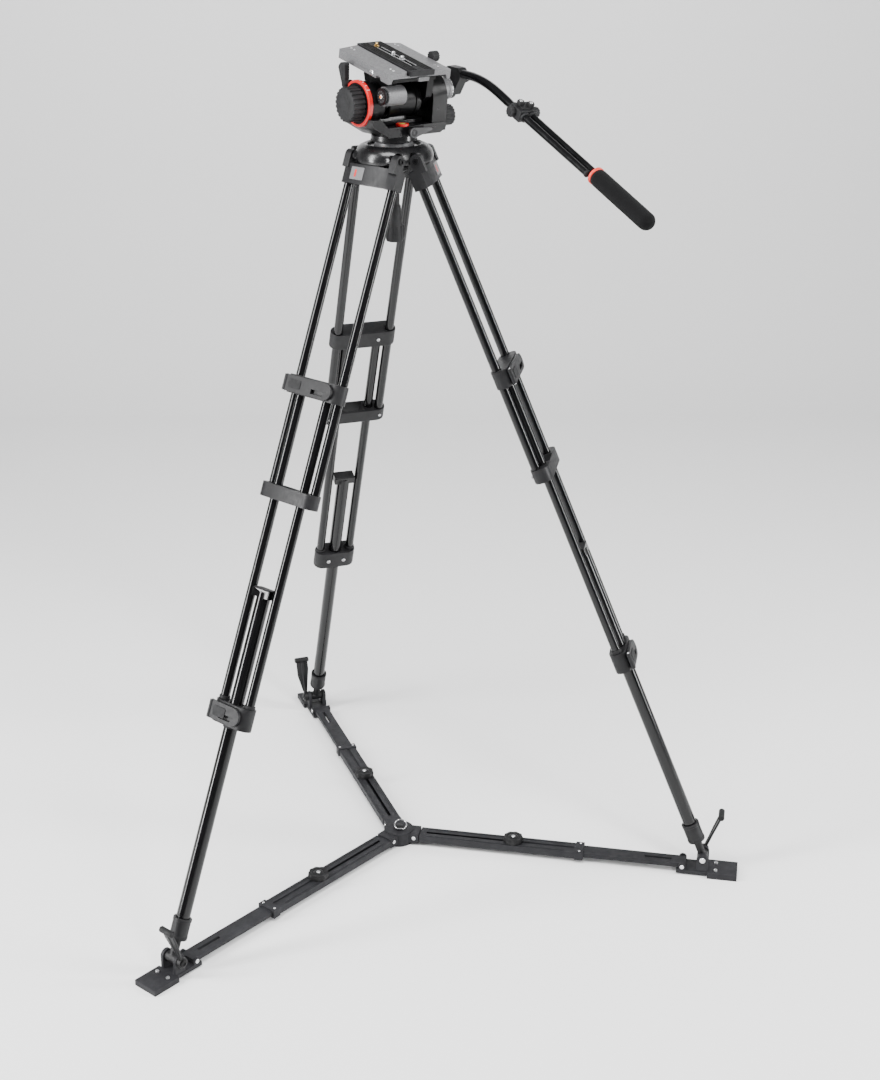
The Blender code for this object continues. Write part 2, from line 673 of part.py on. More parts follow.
def front_path():
    """Straight out of the clamp, a smooth elbow, then straight down the slope."""
    first, last = Vector(FRONT_STRAIGHT), Vector(bar_point(-0.022))
    lead = Vector(FRONT_STRAIGHT) - Vector(FRONT_START)
    handle_a = first + lead.normalized() * 0.065
    handle_b = Vector(bar_point(-0.070))
    points = [FRONT_START]
    for step in range(10):
        t = step / 9
        u = 1.0 - t
        place = (first * u ** 3 + handle_a * (3 * u * u * t) + handle_b * (3 * u * t * t)
                 + last * t ** 3)
        points.append(tuple(place))
    points.append(bar_point(FRONT_BAR_END))
    return points


def pan_bar():
    near = HEAD @ Matrix.Translation((BAR_X - BAR_SPACING, 0.0, 0.0))
    outline = [(-0.0120, 1.5980), (0.0120, 1.5980), (0.0170, 1.6250), (0.0130, 1.6470),
               (0.0040, 1.6515), (-0.0280, 1.6500), (-0.0350, 1.6430), (-0.0340, 1.6300)]
    clamp = slab(HEAD @ SIDE, outline, 0.1290, 0.1480)
    clamp = fuse(clamp, along_axis(HEAD, 0.0, TILT_Z + ROSETTE_LIFT, 0.1256, 0.1340, 0.0195, 28))
    clamp = carve(clamp, rod(near, (0.0, 0.0048, 1.64053), (0.0, -0.0450, 1.6385),
                             BAR_R + SLIDE_FIT, 14))
    keep(clamp, "pan_bar_clamp", "casting", ROSETTE)
    keep(swept(near, front_path(), BAR_R), "pan_bar_front", "gloss_tube", ROSETTE)
    joint = block(BAR, (-0.0200, 0.0200), (-0.0110, 0.0110), (-0.0160, 0.0160))
    for side in (-1, 1):
        joint = carve(joint, rod(BAR, (side * BAR_SPACING, 0.0, -0.03),
                                 (side * BAR_SPACING, 0.0, 0.03), BAR_R + SLIDE_FIT, 14))
    keep(joint, "pan_bar_joint", "casting", ROSETTE)
    rear = rod(BAR, (BAR_SPACING, 0.0, -0.022), (BAR_SPACING, 0.0, 0.360), BAR_R, 14)
    keep(rear, "pan_bar_rear", "gloss_tube", BAR @ Vector((BAR_SPACING, 0.0, 0.0)))
    round_end = arc((0.0, GRIP_END - GRIP_R), GRIP_R, 0.0, 80.0, 5)
    profile = ([(0.0, GRIP_START), (0.0150, GRIP_START), (GRIP_R, GRIP_START + 0.003)]
               + round_end + [(0.0, GRIP_END)])
    here = BAR @ Matrix.Translation((0.004, 0.0, 0.0))
    grip = turned(here, profile, 24)
    grip = carve(grip, rod(BAR, (BAR_SPACING, 0.0, 0.20), (BAR_SPACING, 0.0, 0.3615),
                           BAR_R + 0.0004, 14))
    keep(grip, "pan_bar_grip", "foam", BAR @ Vector((BAR_SPACING, 0.0, 0.0)))


# ---------------------------------------------------------------- assembly

def leg(number, azimuth):
    frame = leg_frame(azimuth)
    floor = arm_frame(azimuth)
    hinge = frame @ Vector((0.0, 0.0, HINGE_ALONG))
    stem = "leg_%d_" % number
    upper_frame(frame, stem + "upper_frame", hinge)
    guide_collar(frame, stem + "guide_collar", hinge)
    mid_frame(frame, stem + "mid_frame", hinge)
    mid_lock(frame, stem + "mid_lock", hinge)
    lock_lever(frame, stem + "mid_lever", MID_LOCK, 0.0152, -0.0640, 0.0560, 0.0160)
    lock_lever(frame, stem + "lower_lever", LOWER_LOCK, 0.0192, -0.0430, 0.0360, 0.0180)
    lower_tube(frame, stem + "lower_tube", hinge)
    foot_cup(frame, "foot_%d_cup" % number)
    shoe(floor, "foot_%d_shoe" % number)
    foot_lever(floor, "foot_%d_lever" % number)
    channel(floor, "arm_%d_channel" % number)
    outer_bar(floor, "arm_%d_bar" % number)
    arm_knob(floor, "arm_%d_knob" % number)


def main():
    clear_scene()
    for index, azimuth in enumerate(LEG_AZIMUTHS):
        leg(index + 1, azimuth)
    hub()
    top_casting()
    half_ball()
    levelling_handle()
    pan_base()
    head_housing()
    tilt_cradle()
    platform()
    camera_plate()
    head_knobs()
    head_levers()
    pan_bar()


main()
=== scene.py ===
"""The looks of the tripod with fluid head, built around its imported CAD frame."""
import json
import math

import bmesh
import bpy
from mathutils import Matrix, Vector, noise


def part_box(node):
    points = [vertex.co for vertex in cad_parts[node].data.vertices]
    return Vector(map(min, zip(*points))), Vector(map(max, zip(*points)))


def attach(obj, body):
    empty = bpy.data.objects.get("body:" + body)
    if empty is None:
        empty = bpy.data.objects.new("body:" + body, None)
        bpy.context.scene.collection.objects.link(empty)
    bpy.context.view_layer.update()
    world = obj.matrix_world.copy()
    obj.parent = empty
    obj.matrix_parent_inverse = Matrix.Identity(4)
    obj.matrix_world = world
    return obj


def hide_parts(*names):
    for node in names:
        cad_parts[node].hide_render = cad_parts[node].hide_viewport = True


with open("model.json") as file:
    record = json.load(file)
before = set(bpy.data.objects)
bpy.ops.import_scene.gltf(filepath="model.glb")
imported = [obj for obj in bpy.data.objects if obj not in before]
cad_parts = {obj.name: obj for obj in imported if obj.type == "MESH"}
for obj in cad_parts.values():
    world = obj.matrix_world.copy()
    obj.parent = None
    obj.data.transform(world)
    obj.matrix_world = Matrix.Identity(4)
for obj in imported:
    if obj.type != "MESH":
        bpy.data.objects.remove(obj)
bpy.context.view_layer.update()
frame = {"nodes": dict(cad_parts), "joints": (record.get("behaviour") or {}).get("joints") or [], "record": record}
JOINTS = {joint["name"]: joint for joint in frame["joints"]}
SLOT_OF = {row["node"]: row["material_slot"] for row in frame["record"]["subparts"]}
BODY_OF = {node: body for body, nodes in frame["record"]["behaviour"]["bodies"].items()
           for node in nodes}
RIGHT_ANGLE = math.radians(90.0)
LEGS = (1, 2, 3)


# ---------------------------------------------------------------- frames

def axis(name):
    return Vector(JOINTS[name]["axis"]).normalized()


def spot(name):
    return Vector(JOINTS[name]["pos_m"])


def frame_of(origin, x, y, z):
    turn = Matrix((x, y, z)).transposed().to_4x4()
    return Matrix.Translation(origin) @ turn


def leg_frame(leg):
    """x outward, y along the hinge, z up the leg from the floor."""
    along, tangent = axis("leg_%d_mid_slide" % leg), axis("leg_%d_spread" % leg)
    hinge = spot("leg_%d_spread" % leg)
    origin = hinge - along * (hinge.z / along.z)
    return frame_of(origin, tangent.cross(along), tangent, along)


def arm_frame(leg):
    """x outward, y along the tangent, z up, at the hub's centre."""
    radial = -axis("arm_%d_slide" % leg)
    up = Vector((0.0, 0.0, 1.0))
    return frame_of(Vector(), radial, up.cross(radial), up)


def centre(node):
    low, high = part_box(node)
    return (low + high) / 2


def centre_along(node, inverse):
    """The height of a node's middle in the frame whose inverse is given."""
    return (inverse @ centre(node)).z


UP = Vector((0.0, 0.0, 1.0))
TILT_X = axis("tilt")
HEAD = frame_of(Vector(), TILT_X, UP.cross(TILT_X), UP)
TILT = frame_of(spot("tilt"), TILT_X, axis("plate_slide"), TILT_X.cross(axis("plate_slide")))
BAR_Z = axis("bar_extension")
BAR = frame_of(centre("pan_bar_joint"), TILT_X, BAR_Z.cross(TILT_X), BAR_Z)
# Lays a piece across: its z goes to the frame's x, its x to y and its y to z.
ACROSS = Matrix(((0, 0, 1, 0), (1, 0, 0, 0), (0, 1, 0, 0), (0, 0, 0, 1)))


# ---------------------------------------------------------------- materials

class Finish:
    """A Principled material with noise-driven colour, roughness and bump."""

    def __init__(self, name, colour, roughness, metallic=0.0, coat=0.0, shine=0.5):
        self.material = bpy.data.materials.new(name)
        self.material.use_nodes = True
        self.nodes = self.material.node_tree.nodes
        self.links = self.material.node_tree.links
        self.shader = self.nodes["Principled BSDF"]
        self.place = self.nodes.new("ShaderNodeTexCoord").outputs["Object"]
        self.colour = colour
        self.bumps = None
        self.shader.inputs["Base Color"].default_value = (*colour, 1.0)
        self.shader.inputs["Roughness"].default_value = roughness
        self.shader.inputs["Metallic"].default_value = metallic
        self.shader.inputs["Coat Weight"].default_value = coat
        self.shader.inputs["Coat Roughness"].default_value = 0.12
        self.shader.inputs["Specular IOR Level"].default_value = shine

    def noise(self, scale, detail=4.0, rough=0.55, stretch=(1.0, 1.0, 1.0)):
        """A cloudy value over the surface, scale in clouds per metre."""
        mapping = self.nodes.new("ShaderNodeMapping")
        mapping.inputs["Scale"].default_value = stretch
        self.links.new(self.place, mapping.inputs["Vector"])
        texture = self.nodes.new("ShaderNodeTexNoise")
        texture.inputs["Scale"].default_value = scale
        texture.inputs["Detail"].default_value = detail
        texture.inputs["Roughness"].default_value = rough
        self.links.new(mapping.outputs["Vector"], texture.inputs["Vector"])
        return texture.outputs["Fac"]

    def cells(self, scale):
        """The distance to the nearest of the points scattered over the surface."""
        texture = self.nodes.new("ShaderNodeTexVoronoi")
        texture.inputs["Scale"].default_value = scale
        self.links.new(self.place, texture.inputs["Vector"])
        return texture.outputs["Distance"]

    def shades(self, source, low, high, dark, light):
        """Colour from dark to light as the source goes from low to high."""
        ramp = self.nodes.new("ShaderNodeValToRGB")
        ramp.color_ramp.elements[0].position = low
        ramp.color_ramp.elements[1].position = high
        ramp.color_ramp.elements[0].color = (*[c * dark for c in self.colour], 1.0)
        ramp.color_ramp.elements[1].color = (*[min(c * light, 1.0) for c in self.colour], 1.0)
        self.links.new(source, ramp.inputs["Fac"])
        self.links.new(ramp.outputs["Color"], self.shader.inputs["Base Color"])
        return self

    def gloss(self, source, low, high):
        """Roughness from low to high as the source goes from 0.3 to 0.7."""
        spread = self.nodes.new("ShaderNodeMapRange")
        spread.inputs["From Min"].default_value = 0.3
        spread.inputs["From Max"].default_value = 0.7
        spread.inputs["To Min"].default_value = low
        spread.inputs["To Max"].default_value = high
        self.links.new(source, spread.inputs["Value"])
        self.links.new(spread.outputs["Result"], self.shader.inputs["Roughness"])
        return self

    def bump(self, source, strength, depth):
        """Relief from the source, added to any relief that the finish has."""
        node = self.nodes.new("ShaderNodeBump")
        node.inputs["Strength"].default_value = strength
        node.inputs["Distance"].default_value = depth
        self.links.new(source, node.inputs["Height"])
        if self.bumps is not None:
            self.links.new(self.bumps, node.inputs["Normal"])
        self.bumps = node.outputs["Normal"]
        self.links.new(self.bumps, self.shader.inputs["Normal"])
        return self


def gloss_tube():
    """Black anodised tube: glossy, with faint drawing lines and a few dull patches."""
    look = Finish("tube_black", (0.0020, 0.0020, 0.0023), 0.13, shine=0.34)
    look.shades(look.noise(14.0), 0.3, 0.75, 0.75, 1.5)
    look.gloss(look.noise(60.0, stretch=(1.0, 1.0, 0.15)), 0.11, 0.22)
    return look.bump(look.noise(900.0, 2.0), 0.06, 0.0001)


def casting():
    """Satin grey-black painted casting with a fine orange peel."""
    look = Finish("casting_grey", (0.0068, 0.0068, 0.0074), 0.38, shine=0.24)
    look.shades(look.noise(35.0, 6.0), 0.3, 0.72, 0.75, 1.45)
    look.gloss(look.noise(120.0), 0.38, 0.55)
    look.bump(look.noise(420.0, 3.0), 0.22, 0.0003)
    return look.bump(look.cells(1500.0), 0.10, 0.0001)


def spreader_paint():
    """Matte powder coat on the floor spreader, a little scuffed."""
    look = Finish("spreader_grey", (0.0125, 0.0125, 0.0142), 0.55, shine=0.20)
    look.shades(look.noise(22.0, 8.0, 0.7), 0.28, 0.8, 0.7, 1.7)
    look.gloss(look.noise(70.0), 0.48, 0.68)
    look.bump(look.noise(650.0, 3.0), 0.30, 0.0003)
    return look.bump(look.cells(1800.0), 0.12, 0.0001)


def dome_paint():
    """Smooth, nearly black gloss paint with a soft orange peel."""
    look = Finish("dome_black", (0.0035, 0.0035, 0.0038), 0.24, coat=0.08, shine=0.36)
    look.shades(look.noise(18.0), 0.3, 0.7, 0.8, 1.6)
    look.gloss(look.noise(45.0), 0.20, 0.33)
    return look.bump(look.noise(260.0, 2.0), 0.08, 0.0002)


def head_black():
    look = Finish("head_black", (0.0024, 0.0024, 0.0026), 0.34, shine=0.15)
    look.shades(look.noise(30.0, 5.0), 0.3, 0.72, 0.7, 1.7)
    look.gloss(look.noise(90.0), 0.26, 0.42)
    return look.bump(look.noise(800.0, 3.0), 0.14, 0.0002)


def grey_alloy():
    """Light grey paint, speckled dark and light like a cast surface."""
    look = Finish("head_grey", (0.094, 0.094, 0.097), 0.42, metallic=0.2)
    look.shades(look.noise(520.0, 5.0, 0.8), 0.34, 0.68, 0.50, 1.55)
    look.gloss(look.noise(160.0), 0.34, 0.52)
    look.bump(look.noise(900.0, 3.0), 0.30, 0.0003)
    return look.bump(look.noise(60.0), 0.06, 0.0004)


def rubber():
    look = Finish("rubber_black", (0.0068, 0.0068, 0.0073), 0.60, shine=0.22)
    look.shades(look.noise(60.0, 5.0), 0.3, 0.7, 0.7, 1.7)
    look.gloss(look.noise(140.0), 0.52, 0.72)
    look.bump(look.noise(1100.0, 3.0), 0.35, 0.0003)
    return look


def foam():
    """Closed-cell foam: matte black with fine open pores."""
    look = Finish("foam_black", (0.0022, 0.0022, 0.0024), 0.92, shine=0.08)
    look.shader.inputs["Sheen Weight"].default_value = 0.03
    # painted shade: the same cells that sink the pores in the bump darken their colour, so the pore hollows are
    # drawn darker where shade would fall
    look.shades(look.cells(1400.0), 0.15, 0.75, 0.5, 2.3)
    look.bump(look.cells(1400.0), 0.85, 0.0006)
    return look.bump(look.noise(180.0, 4.0), 0.30, 0.0005)


def painted_red():
    look = Finish("drag_red", (0.42, 0.0030, 0.0030), 0.38)
    look.shades(look.noise(240.0, 5.0), 0.3, 0.7, 0.8, 1.2)
    look.gloss(look.noise(90.0), 0.30, 0.46)
    return look.bump(look.noise(700.0), 0.12, 0.0002)


def ring_orange():
    look = Finish("ring_orange", (0.52, 0.017, 0.0035), 0.48)
    look.shades(look.noise(200.0, 5.0), 0.3, 0.7, 0.82, 1.18)
    look.gloss(look.noise(90.0), 0.40, 0.55)
    return look.bump(look.noise(600.0), 0.12, 0.0002)


def amber():
    look = Finish("dial_amber", (0.80, 0.18, 0.010), 0.40)
    look.shades(look.noise(300.0, 5.0), 0.3, 0.7, 0.85, 1.15)
    return look.bump(look.noise(800.0), 0.10, 0.0001)


def steel():
    """Bright turned steel with fine brushed lines."""
    look = Finish("steel_bright", (0.62, 0.62, 0.63), 0.28, metallic=1.0)
    look.shades(look.noise(90.0, 5.0), 0.3, 0.7, 0.75, 1.15)
    look.gloss(look.noise(300.0, stretch=(1.0, 1.0, 8.0)), 0.20, 0.38)
    return look.bump(look.noise(1500.0), 0.08, 0.0001)


def brass():
    look = Finish("brass_screw", (0.66, 0.43, 0.16), 0.30, metallic=1.0)
    look.shades(look.noise(150.0, 5.0), 0.3, 0.7, 0.8, 1.15)
    look.gloss(look.noise(300.0), 0.22, 0.38)
    return look.bump(look.noise(1300.0), 0.08, 0.0001)


def badge_grey():
    look = Finish("badge_grey", (0.115, 0.115, 0.118), 0.42, metallic=0.4)
    look.shades(look.noise(300.0, 4.0, stretch=(8.0, 1.0, 1.0)), 0.3, 0.7, 0.85, 1.12)
    look.gloss(look.noise(90.0), 0.33, 0.48)
    return look.bump(look.noise(900.0), 0.08, 0.0001)


def plate_rubber():
    """Ribbed anti-slip strip: fine ridges across it."""
    look = Finish("strip_rubber", (0.0026, 0.0026, 0.0026), 0.7, shine=0.2)
    look.shades(look.noise(80.0, 5.0), 0.3, 0.7, 0.7, 1.6)
    look.gloss(look.noise(100.0), 0.65, 0.85)
    return look.bump(look.noise(1400.0, 2.0), 0.4, 0.0003)


def vial():
    """The green-yellow fluid of the spirit level under its window."""
    look = Finish("vial_green", (0.42, 0.55, 0.10), 0.10, coat=1.0)
    look.shades(look.noise(60.0), 0.3, 0.7, 0.85, 1.15)
    return look.bump(look.noise(300.0), 0.03, 0.0001)


def ink_white():
    look = Finish("mark_white", (0.72, 0.72, 0.70), 0.5)
    look.shades(look.noise(300.0), 0.3, 0.7, 0.85, 1.1)
    return look.bump(look.noise(800.0), 0.08, 0.0001)


def lever_grey():
    look = Finish("lever_grey", (0.030, 0.030, 0.031), 0.46, shine=0.3)
    look.shades(look.noise(40.0, 5.0), 0.3, 0.7, 0.75, 1.4)
    look.gloss(look.noise(120.0), 0.42, 0.58)
    return look.bump(look.noise(700.0), 0.2, 0.0003)


LOOKS = {
    "gloss_tube": gloss_tube(), "casting": casting(), "spreader": spreader_paint(),
    "dome": dome_paint(), "head_black": head_black(), "grey_alloy": grey_alloy(),
    "rubber": rubber(), "foam": foam(), "red": painted_red(), "orange": ring_orange(),
    "steel": steel(), "brass": brass(), "badge": badge_grey(), "strip": plate_rubber(),
    "vial": vial(), "white": ink_white(), "lever_grey": lever_grey(), "amber": amber(),
}


# ---------------------------------------------------------------- mesh tools

SHARP_ANGLE = math.radians(35.0)   # edges that turn more than this are drawn sharp
BEVEL_ANGLE = math.radians(38.0)   # and those that turn more than this are softened


def soften(item, width):
    """Rounds an object's sharper edges."""
    edge = item.modifiers.new("edges", "BEVEL")
    edge.width = width
    edge.segments = 2
    edge.limit_method = "ANGLE"
    edge.angle_limit = BEVEL_ANGLE
    edge.harden_normals = True


def finish_piece(data, name, place, look, body, bevel=0.0):
    """A finished piece from a bmesh, riding on its body, in its look's slot."""
    bmesh.ops.recalc_face_normals(data, faces=data.faces)
    mesh = bpy.data.meshes.new(name)
    data.to_mesh(mesh)
    data.free()
    mesh.transform(place)
    mesh.materials.append(LOOKS[look].material)
    mesh.shade_smooth()
    mesh.set_sharp_from_angle(angle=SHARP_ANGLE)
    piece = bpy.data.objects.new(name, mesh)
    bpy.context.scene.collection.objects.link(piece)
    if bevel:
        soften(piece, bevel)
    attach(piece, body)
    return piece


def ring_points(data, radius, height, sides, wave=0.0, waves=0):
    """A ring of points about z, its radius waved for grip where waves are asked for."""
    points = []
    for side in range(sides):
        angle = math.tau * side / sides
        reach = radius + wave * math.cos(waves * angle)
        point = (reach * math.cos(angle), reach * math.sin(angle), height)
        points.append(data.verts.new(point))
    return points


def skin(data, low, high):
    """Faces between two rings, or between a ring and a single point."""
    count = max(len(low), len(high))
    for side in range(count):
        after = (side + 1) % count
        if len(low) == 1:
            data.faces.new((low[0], high[side], high[after]))
        elif len(high) == 1:
            data.faces.new((low[side], low[after], high[0]))
        else:
            data.faces.new((low[side], low[after], high[after], high[side]))


def turned(profile, sides=40, wave=0.0, waves=0):
    """A profile of radius, height points turned about z, closed into a ring or by poles."""
    data = bmesh.new()
    rings = []
    for radius, height in profile:
        if radius == 0.0:
            rings.append([data.verts.new((0.0, 0.0, height))])
        else:
            rings.append(ring_points(data, radius, height, sides, wave, waves))
    closed = len(rings[0]) > 1 and len(rings[-1]) > 1
    for index in range(len(rings) - (0 if closed else 1)):
        low, high = rings[index], rings[(index + 1) % len(rings)]
        if len(low) > 1 or len(high) > 1:
            skin(data, low, high)
    return data


def extruded(outline, low, high):
    """An outline in x and y, drawn up from low to high."""
    data = bmesh.new()
    lower = [data.verts.new((x, y, low)) for x, y in outline]
    upper = [data.verts.new((x, y, high)) for x, y in outline]
    data.faces.new(lower)
    data.faces.new(upper)
    for i in range(len(outline)):
        j = (i + 1) % len(outline)
        data.faces.new((lower[i], lower[j], upper[j], upper[i]))
    return data


def arc(x, y, radius, start, end, steps):
    """Points on a circle about x, y, between two angles in degrees."""
    points = []
    for step in range(steps + 1):
        angle = math.radians(start + (end - start) * step / steps)
        points.append((x + radius * math.cos(angle), y + radius * math.sin(angle)))
    return points


def rounded(half_x, half_y, radius, steps=4):
    """A rectangle's outline with round corners."""
    points = []
    for sx, sy, start in ((1, 1, 0), (-1, 1, 90), (-1, -1, 180), (1, -1, 270)):
        points += arc(sx * (half_x - radius), sy * (half_y - radius), radius, start,
                      start + 90, steps)
    return points


def facing(place, point, direction):
    """A frame at a point, its z along direction, both in the frame place."""
    turn = Vector(direction).to_track_quat("Z", "Y").to_matrix().to_4x4()
    return place @ Matrix.Translation(point) @ turn


def washer(radius, low, high, soft=0.0006):
    """A disc's profile with softened rims."""
    return [(0.0, low), (radius - soft, low), (radius, low + soft), (radius, high - soft),
            (radius - soft, high), (0.0, high)]


def socket_screw(name, place, body, radius=0.0032, height=0.0022, look="steel"):
    """A cap screw with its socket drawn as a round recess, standing on z = 0."""
    data = turned([(0.0, 0.0), (radius, 0.0), (radius, height * 0.75),
                   (radius * 0.88, height), (radius * 0.52, height),
                   (radius * 0.52, height * 0.35), (0.0, height * 0.35)], 24)
    return finish_piece(data, name, place, look, body)


def band(inner, outer, low, high, soft=0.0005):
    """A ring's profile with softened outer rims."""
    return [(inner, low), (outer - soft, low), (outer, low + soft), (outer, high - soft),
            (outer - soft, high), (inner, high)]


# ---------------------------------------------------------------- CAD nodes

BEVELS = {"gloss_tube": 0.0008, "casting": 0.0016, "spreader": 0.0011, "dome": 0.0009,
          "head_black": 0.0012, "grey_alloy": 0.0011, "rubber": 0.0007, "foam": 0.0006}
WELD_REACH = 0.00002
FLAT_ANGLE = math.radians(0.6)     # facets that turn less than this are one face

STOUT_FROM, STOUT_RAMP, STOUT_SWELL = 0.016, 0.012, 0.0024   # ahead of the bar's joint
BRACKET_FROM = 1.5655              # up the leg: castings above, tubes below
CLAMP_HALF = 0.0222
DRUM_INNER, DRUM_BACK, DRUM_TOP = -0.0195, -0.030, 0.0455    # in the tilt frame
ROSETTE_FROM = 0.089


def dress_nodes():
    """Materials, joined facets and softened edges on every CAD node."""
    for name, node in frame["nodes"].items():
        slot = SLOT_OF[name]
        node.data.materials.clear()
        node.data.materials.append(LOOKS[slot].material)
        for layer in ("custom_normal", "sharp_edge"):
            if layer in node.data.attributes:
                node.data.attributes.remove(node.data.attributes[layer])
        node.data.shade_smooth()
        weld = node.modifiers.new("weld", "WELD")
        weld.merge_threshold = WELD_REACH
        flat = node.modifiers.new("flat", "DECIMATE")
        flat.decimate_type = "DISSOLVE"
        flat.angle_limit = FLAT_ANGLE
        flat.delimit = {"MATERIAL"}
        soften(node, BEVELS[slot])


def thicken_bar():
    """The curved part of the pan bar, ahead of its joint, is stouter than the rest."""
    node = frame["nodes"]["pan_bar_front"]
    group = node.vertex_groups.new(name="stout")
    inverse = BAR.inverted()
    for vertex in node.data.vertices:
        ahead = -(inverse @ vertex.co).z - STOUT_FROM
        group.add([vertex.index], min(max(ahead / STOUT_RAMP, 0.0), 1.0), "REPLACE")
    swell = node.modifiers.new("swell", "DISPLACE")
    swell.strength = STOUT_SWELL
    swell.mid_level = 0.0
    swell.vertex_group = "stout"
    node.modifiers.move(len(node.modifiers) - 1, 1)


def second_look(name, look, chosen):
    """Gives the faces of a node whose centre is chosen another material."""
    node = frame["nodes"][name]
    node.data.materials.append(LOOKS[look].material)
    for face in node.data.polygons:
        if chosen(face.center):
            face.material_index = 1


def split_leg_looks():
    """Castings on the tube frames are painted, their tubes are glossy."""
    for leg in LEGS:
        inverse = leg_frame(leg).inverted()
        clamp_top = centre_along("leg_%d_lower_lever" % leg, inverse) + CLAMP_HALF
        second_look("leg_%d_upper_frame" % leg, "casting",
                    lambda point: (inverse @ point).z > BRACKET_FROM)
        second_look("leg_%d_mid_frame" % leg, "casting",
                    lambda point: (inverse @ point).z < clamp_top)


def split_head_looks():
    """The cradle's webs are black, its drum and rosette are painted grey."""
    inverse = TILT.inverted()

    def hidden(point):
        place = inverse @ point
        drum = place.x < DRUM_INNER and place.y < DRUM_BACK and place.z < DRUM_TOP
        return not drum and place.x < ROSETTE_FROM

    second_look("tilt_cradle", "head_black", hidden)


# ---------------------------------------------------------------- camera and light

VIEW_FROM = (0.0, -3.4775, 2.1132)
VIEW_DOWN = 20.86          # degrees below the horizon
VIEW_ROLL = -0.007         # radians
VIEW_LENS, VIEW_SENSOR = 60.878, 36.0     # millimetres
VIEW_SHIFT = (0.04032, -0.03416)

FLOOR_FRONT, FLOOR_BACK, FLOOR_HALF = -8.0, 3.0, 9.0
FLOOR_DROP = 0.0004        # the floor lies this far below the soles
COVE, WALL_TOP = 1.6, 7.0  # the radius of the curve behind, and the wall's top

SKY_COLOUR, SKY_POWER = (0.92, 0.93, 0.95, 1.0), 0.20
LIGHTS = (  # name, place, target, width and height, watts
    ("left_box", (-3.2, -1.2, 1.9), (0.0, 0.0, 0.9), (0.6, 3.4), 300.0),
    ("right_box", (3.2, -0.6, 1.9), (0.0, 0.0, 0.9), (0.4, 3.4), 190.0),
    ("bar_box", (1.9, -3.0, 3.4), (0.4, -0.2, 1.5), (0.35, 2.4), 110.0),
    ("top_box", (-0.4, -1.6, 4.2), (0.0, 0.0, 1.2), (2.4, 1.6), 260.0),
)


def camera():
    """The view: a little over eye height, looking down at the tripod."""
    data = bpy.data.cameras.new("view")
    data.lens = VIEW_LENS
    data.sensor_width = VIEW_SENSOR
    data.shift_x, data.shift_y = VIEW_SHIFT
    item = bpy.data.objects.new("view", data)
    bpy.context.scene.collection.objects.link(item)
    pitch = Matrix.Rotation(math.radians(90.0 - VIEW_DOWN), 4, "X")
    roll = Matrix.Rotation(VIEW_ROLL, 4, "Z")
    item.matrix_world = Matrix.Translation(VIEW_FROM) @ pitch @ roll
    bpy.context.scene.camera = item


def stage():
    """A pale floor that curves up behind, well clear of the tripod."""
    data = bmesh.new()
    path = [(FLOOR_FRONT, 0.0), (FLOOR_BACK, 0.0)]
    path += [(FLOOR_BACK + x, COVE + y) for x, y in arc(0.0, 0.0, COVE, -90, 0, 12)]
    path += [(FLOOR_BACK + COVE, WALL_TOP)]
    rows = [[data.verts.new((side, y, z - FLOOR_DROP)) for side in (-FLOOR_HALF, FLOOR_HALF)]
            for y, z in path]
    for low, high in zip(rows, rows[1:]):
        data.faces.new((low[0], low[1], high[1], high[0]))
    mesh = bpy.data.meshes.new("stage_floor")
    data.to_mesh(mesh)
    data.free()
    mesh.shade_smooth()
    look = Finish("stage_pale", (0.86, 0.86, 0.86), 0.6)
    mesh.materials.append(look.material)
    floor = bpy.data.objects.new("stage_floor", mesh)
    bpy.context.scene.collection.objects.link(floor)


def area_light(name, place, target, size, power):
    data = bpy.data.lights.new(name, "AREA")
    data.shape = "RECTANGLE"
    data.size, data.size_y = size
    data.energy = power
    item = bpy.data.objects.new(name, data)
    bpy.context.scene.collection.objects.link(item)
    item.location = place
    aim = Vector(target) - Vector(place)
    item.rotation_euler = aim.to_track_quat("-Z", "Y").to_euler()


def lights():
    """Tall side boxes for the streaks on the tubes and the bar, and a broad one overhead."""
    world = bpy.data.worlds.new("studio")
    bpy.context.scene.world = world
    world.use_nodes = True
    sky = world.node_tree.nodes["Background"]
    sky.inputs["Color"].default_value = SKY_COLOUR
    sky.inputs["Strength"].default_value = SKY_POWER
    for light in LIGHTS:
        area_light(*light)


# ---------------------------------------------------------------- leg details

# In a leg's own frame: x outward, y along the hinge, z up the leg.
INNER_TUBE, OUTER_TUBE = 0.0345, 0.0560     # the tubes' distances from the middle
HINGE_END = 0.0660
LOCK_INNER, CLAMP_INNER = -0.0215, -0.0185  # the inner faces of the collar and the clamp
LOCK_SCREW, CLAMP_BOLT = 0.030, 0.018       # out from the middle
BADGE_FACE, BADGE_SIDE, BADGE_HEIGHT = 0.01095, 0.024, 1.5850
BADGE_LEAN = math.radians(2.3)
GUIDE_CAP_TOP = 0.779
BOOT_LOW, BOOT_HIGH = 0.0215, 0.0285        # the tube boots, from the clamp's middle
WIPER_LOW, WIPER_HIGH = -0.0262, -0.0216
MID_LEVER = (0.0213, -0.0640, 0.0160)       # face, start across and half height
LOWER_LEVER = (0.0253, -0.0430, 0.0180)


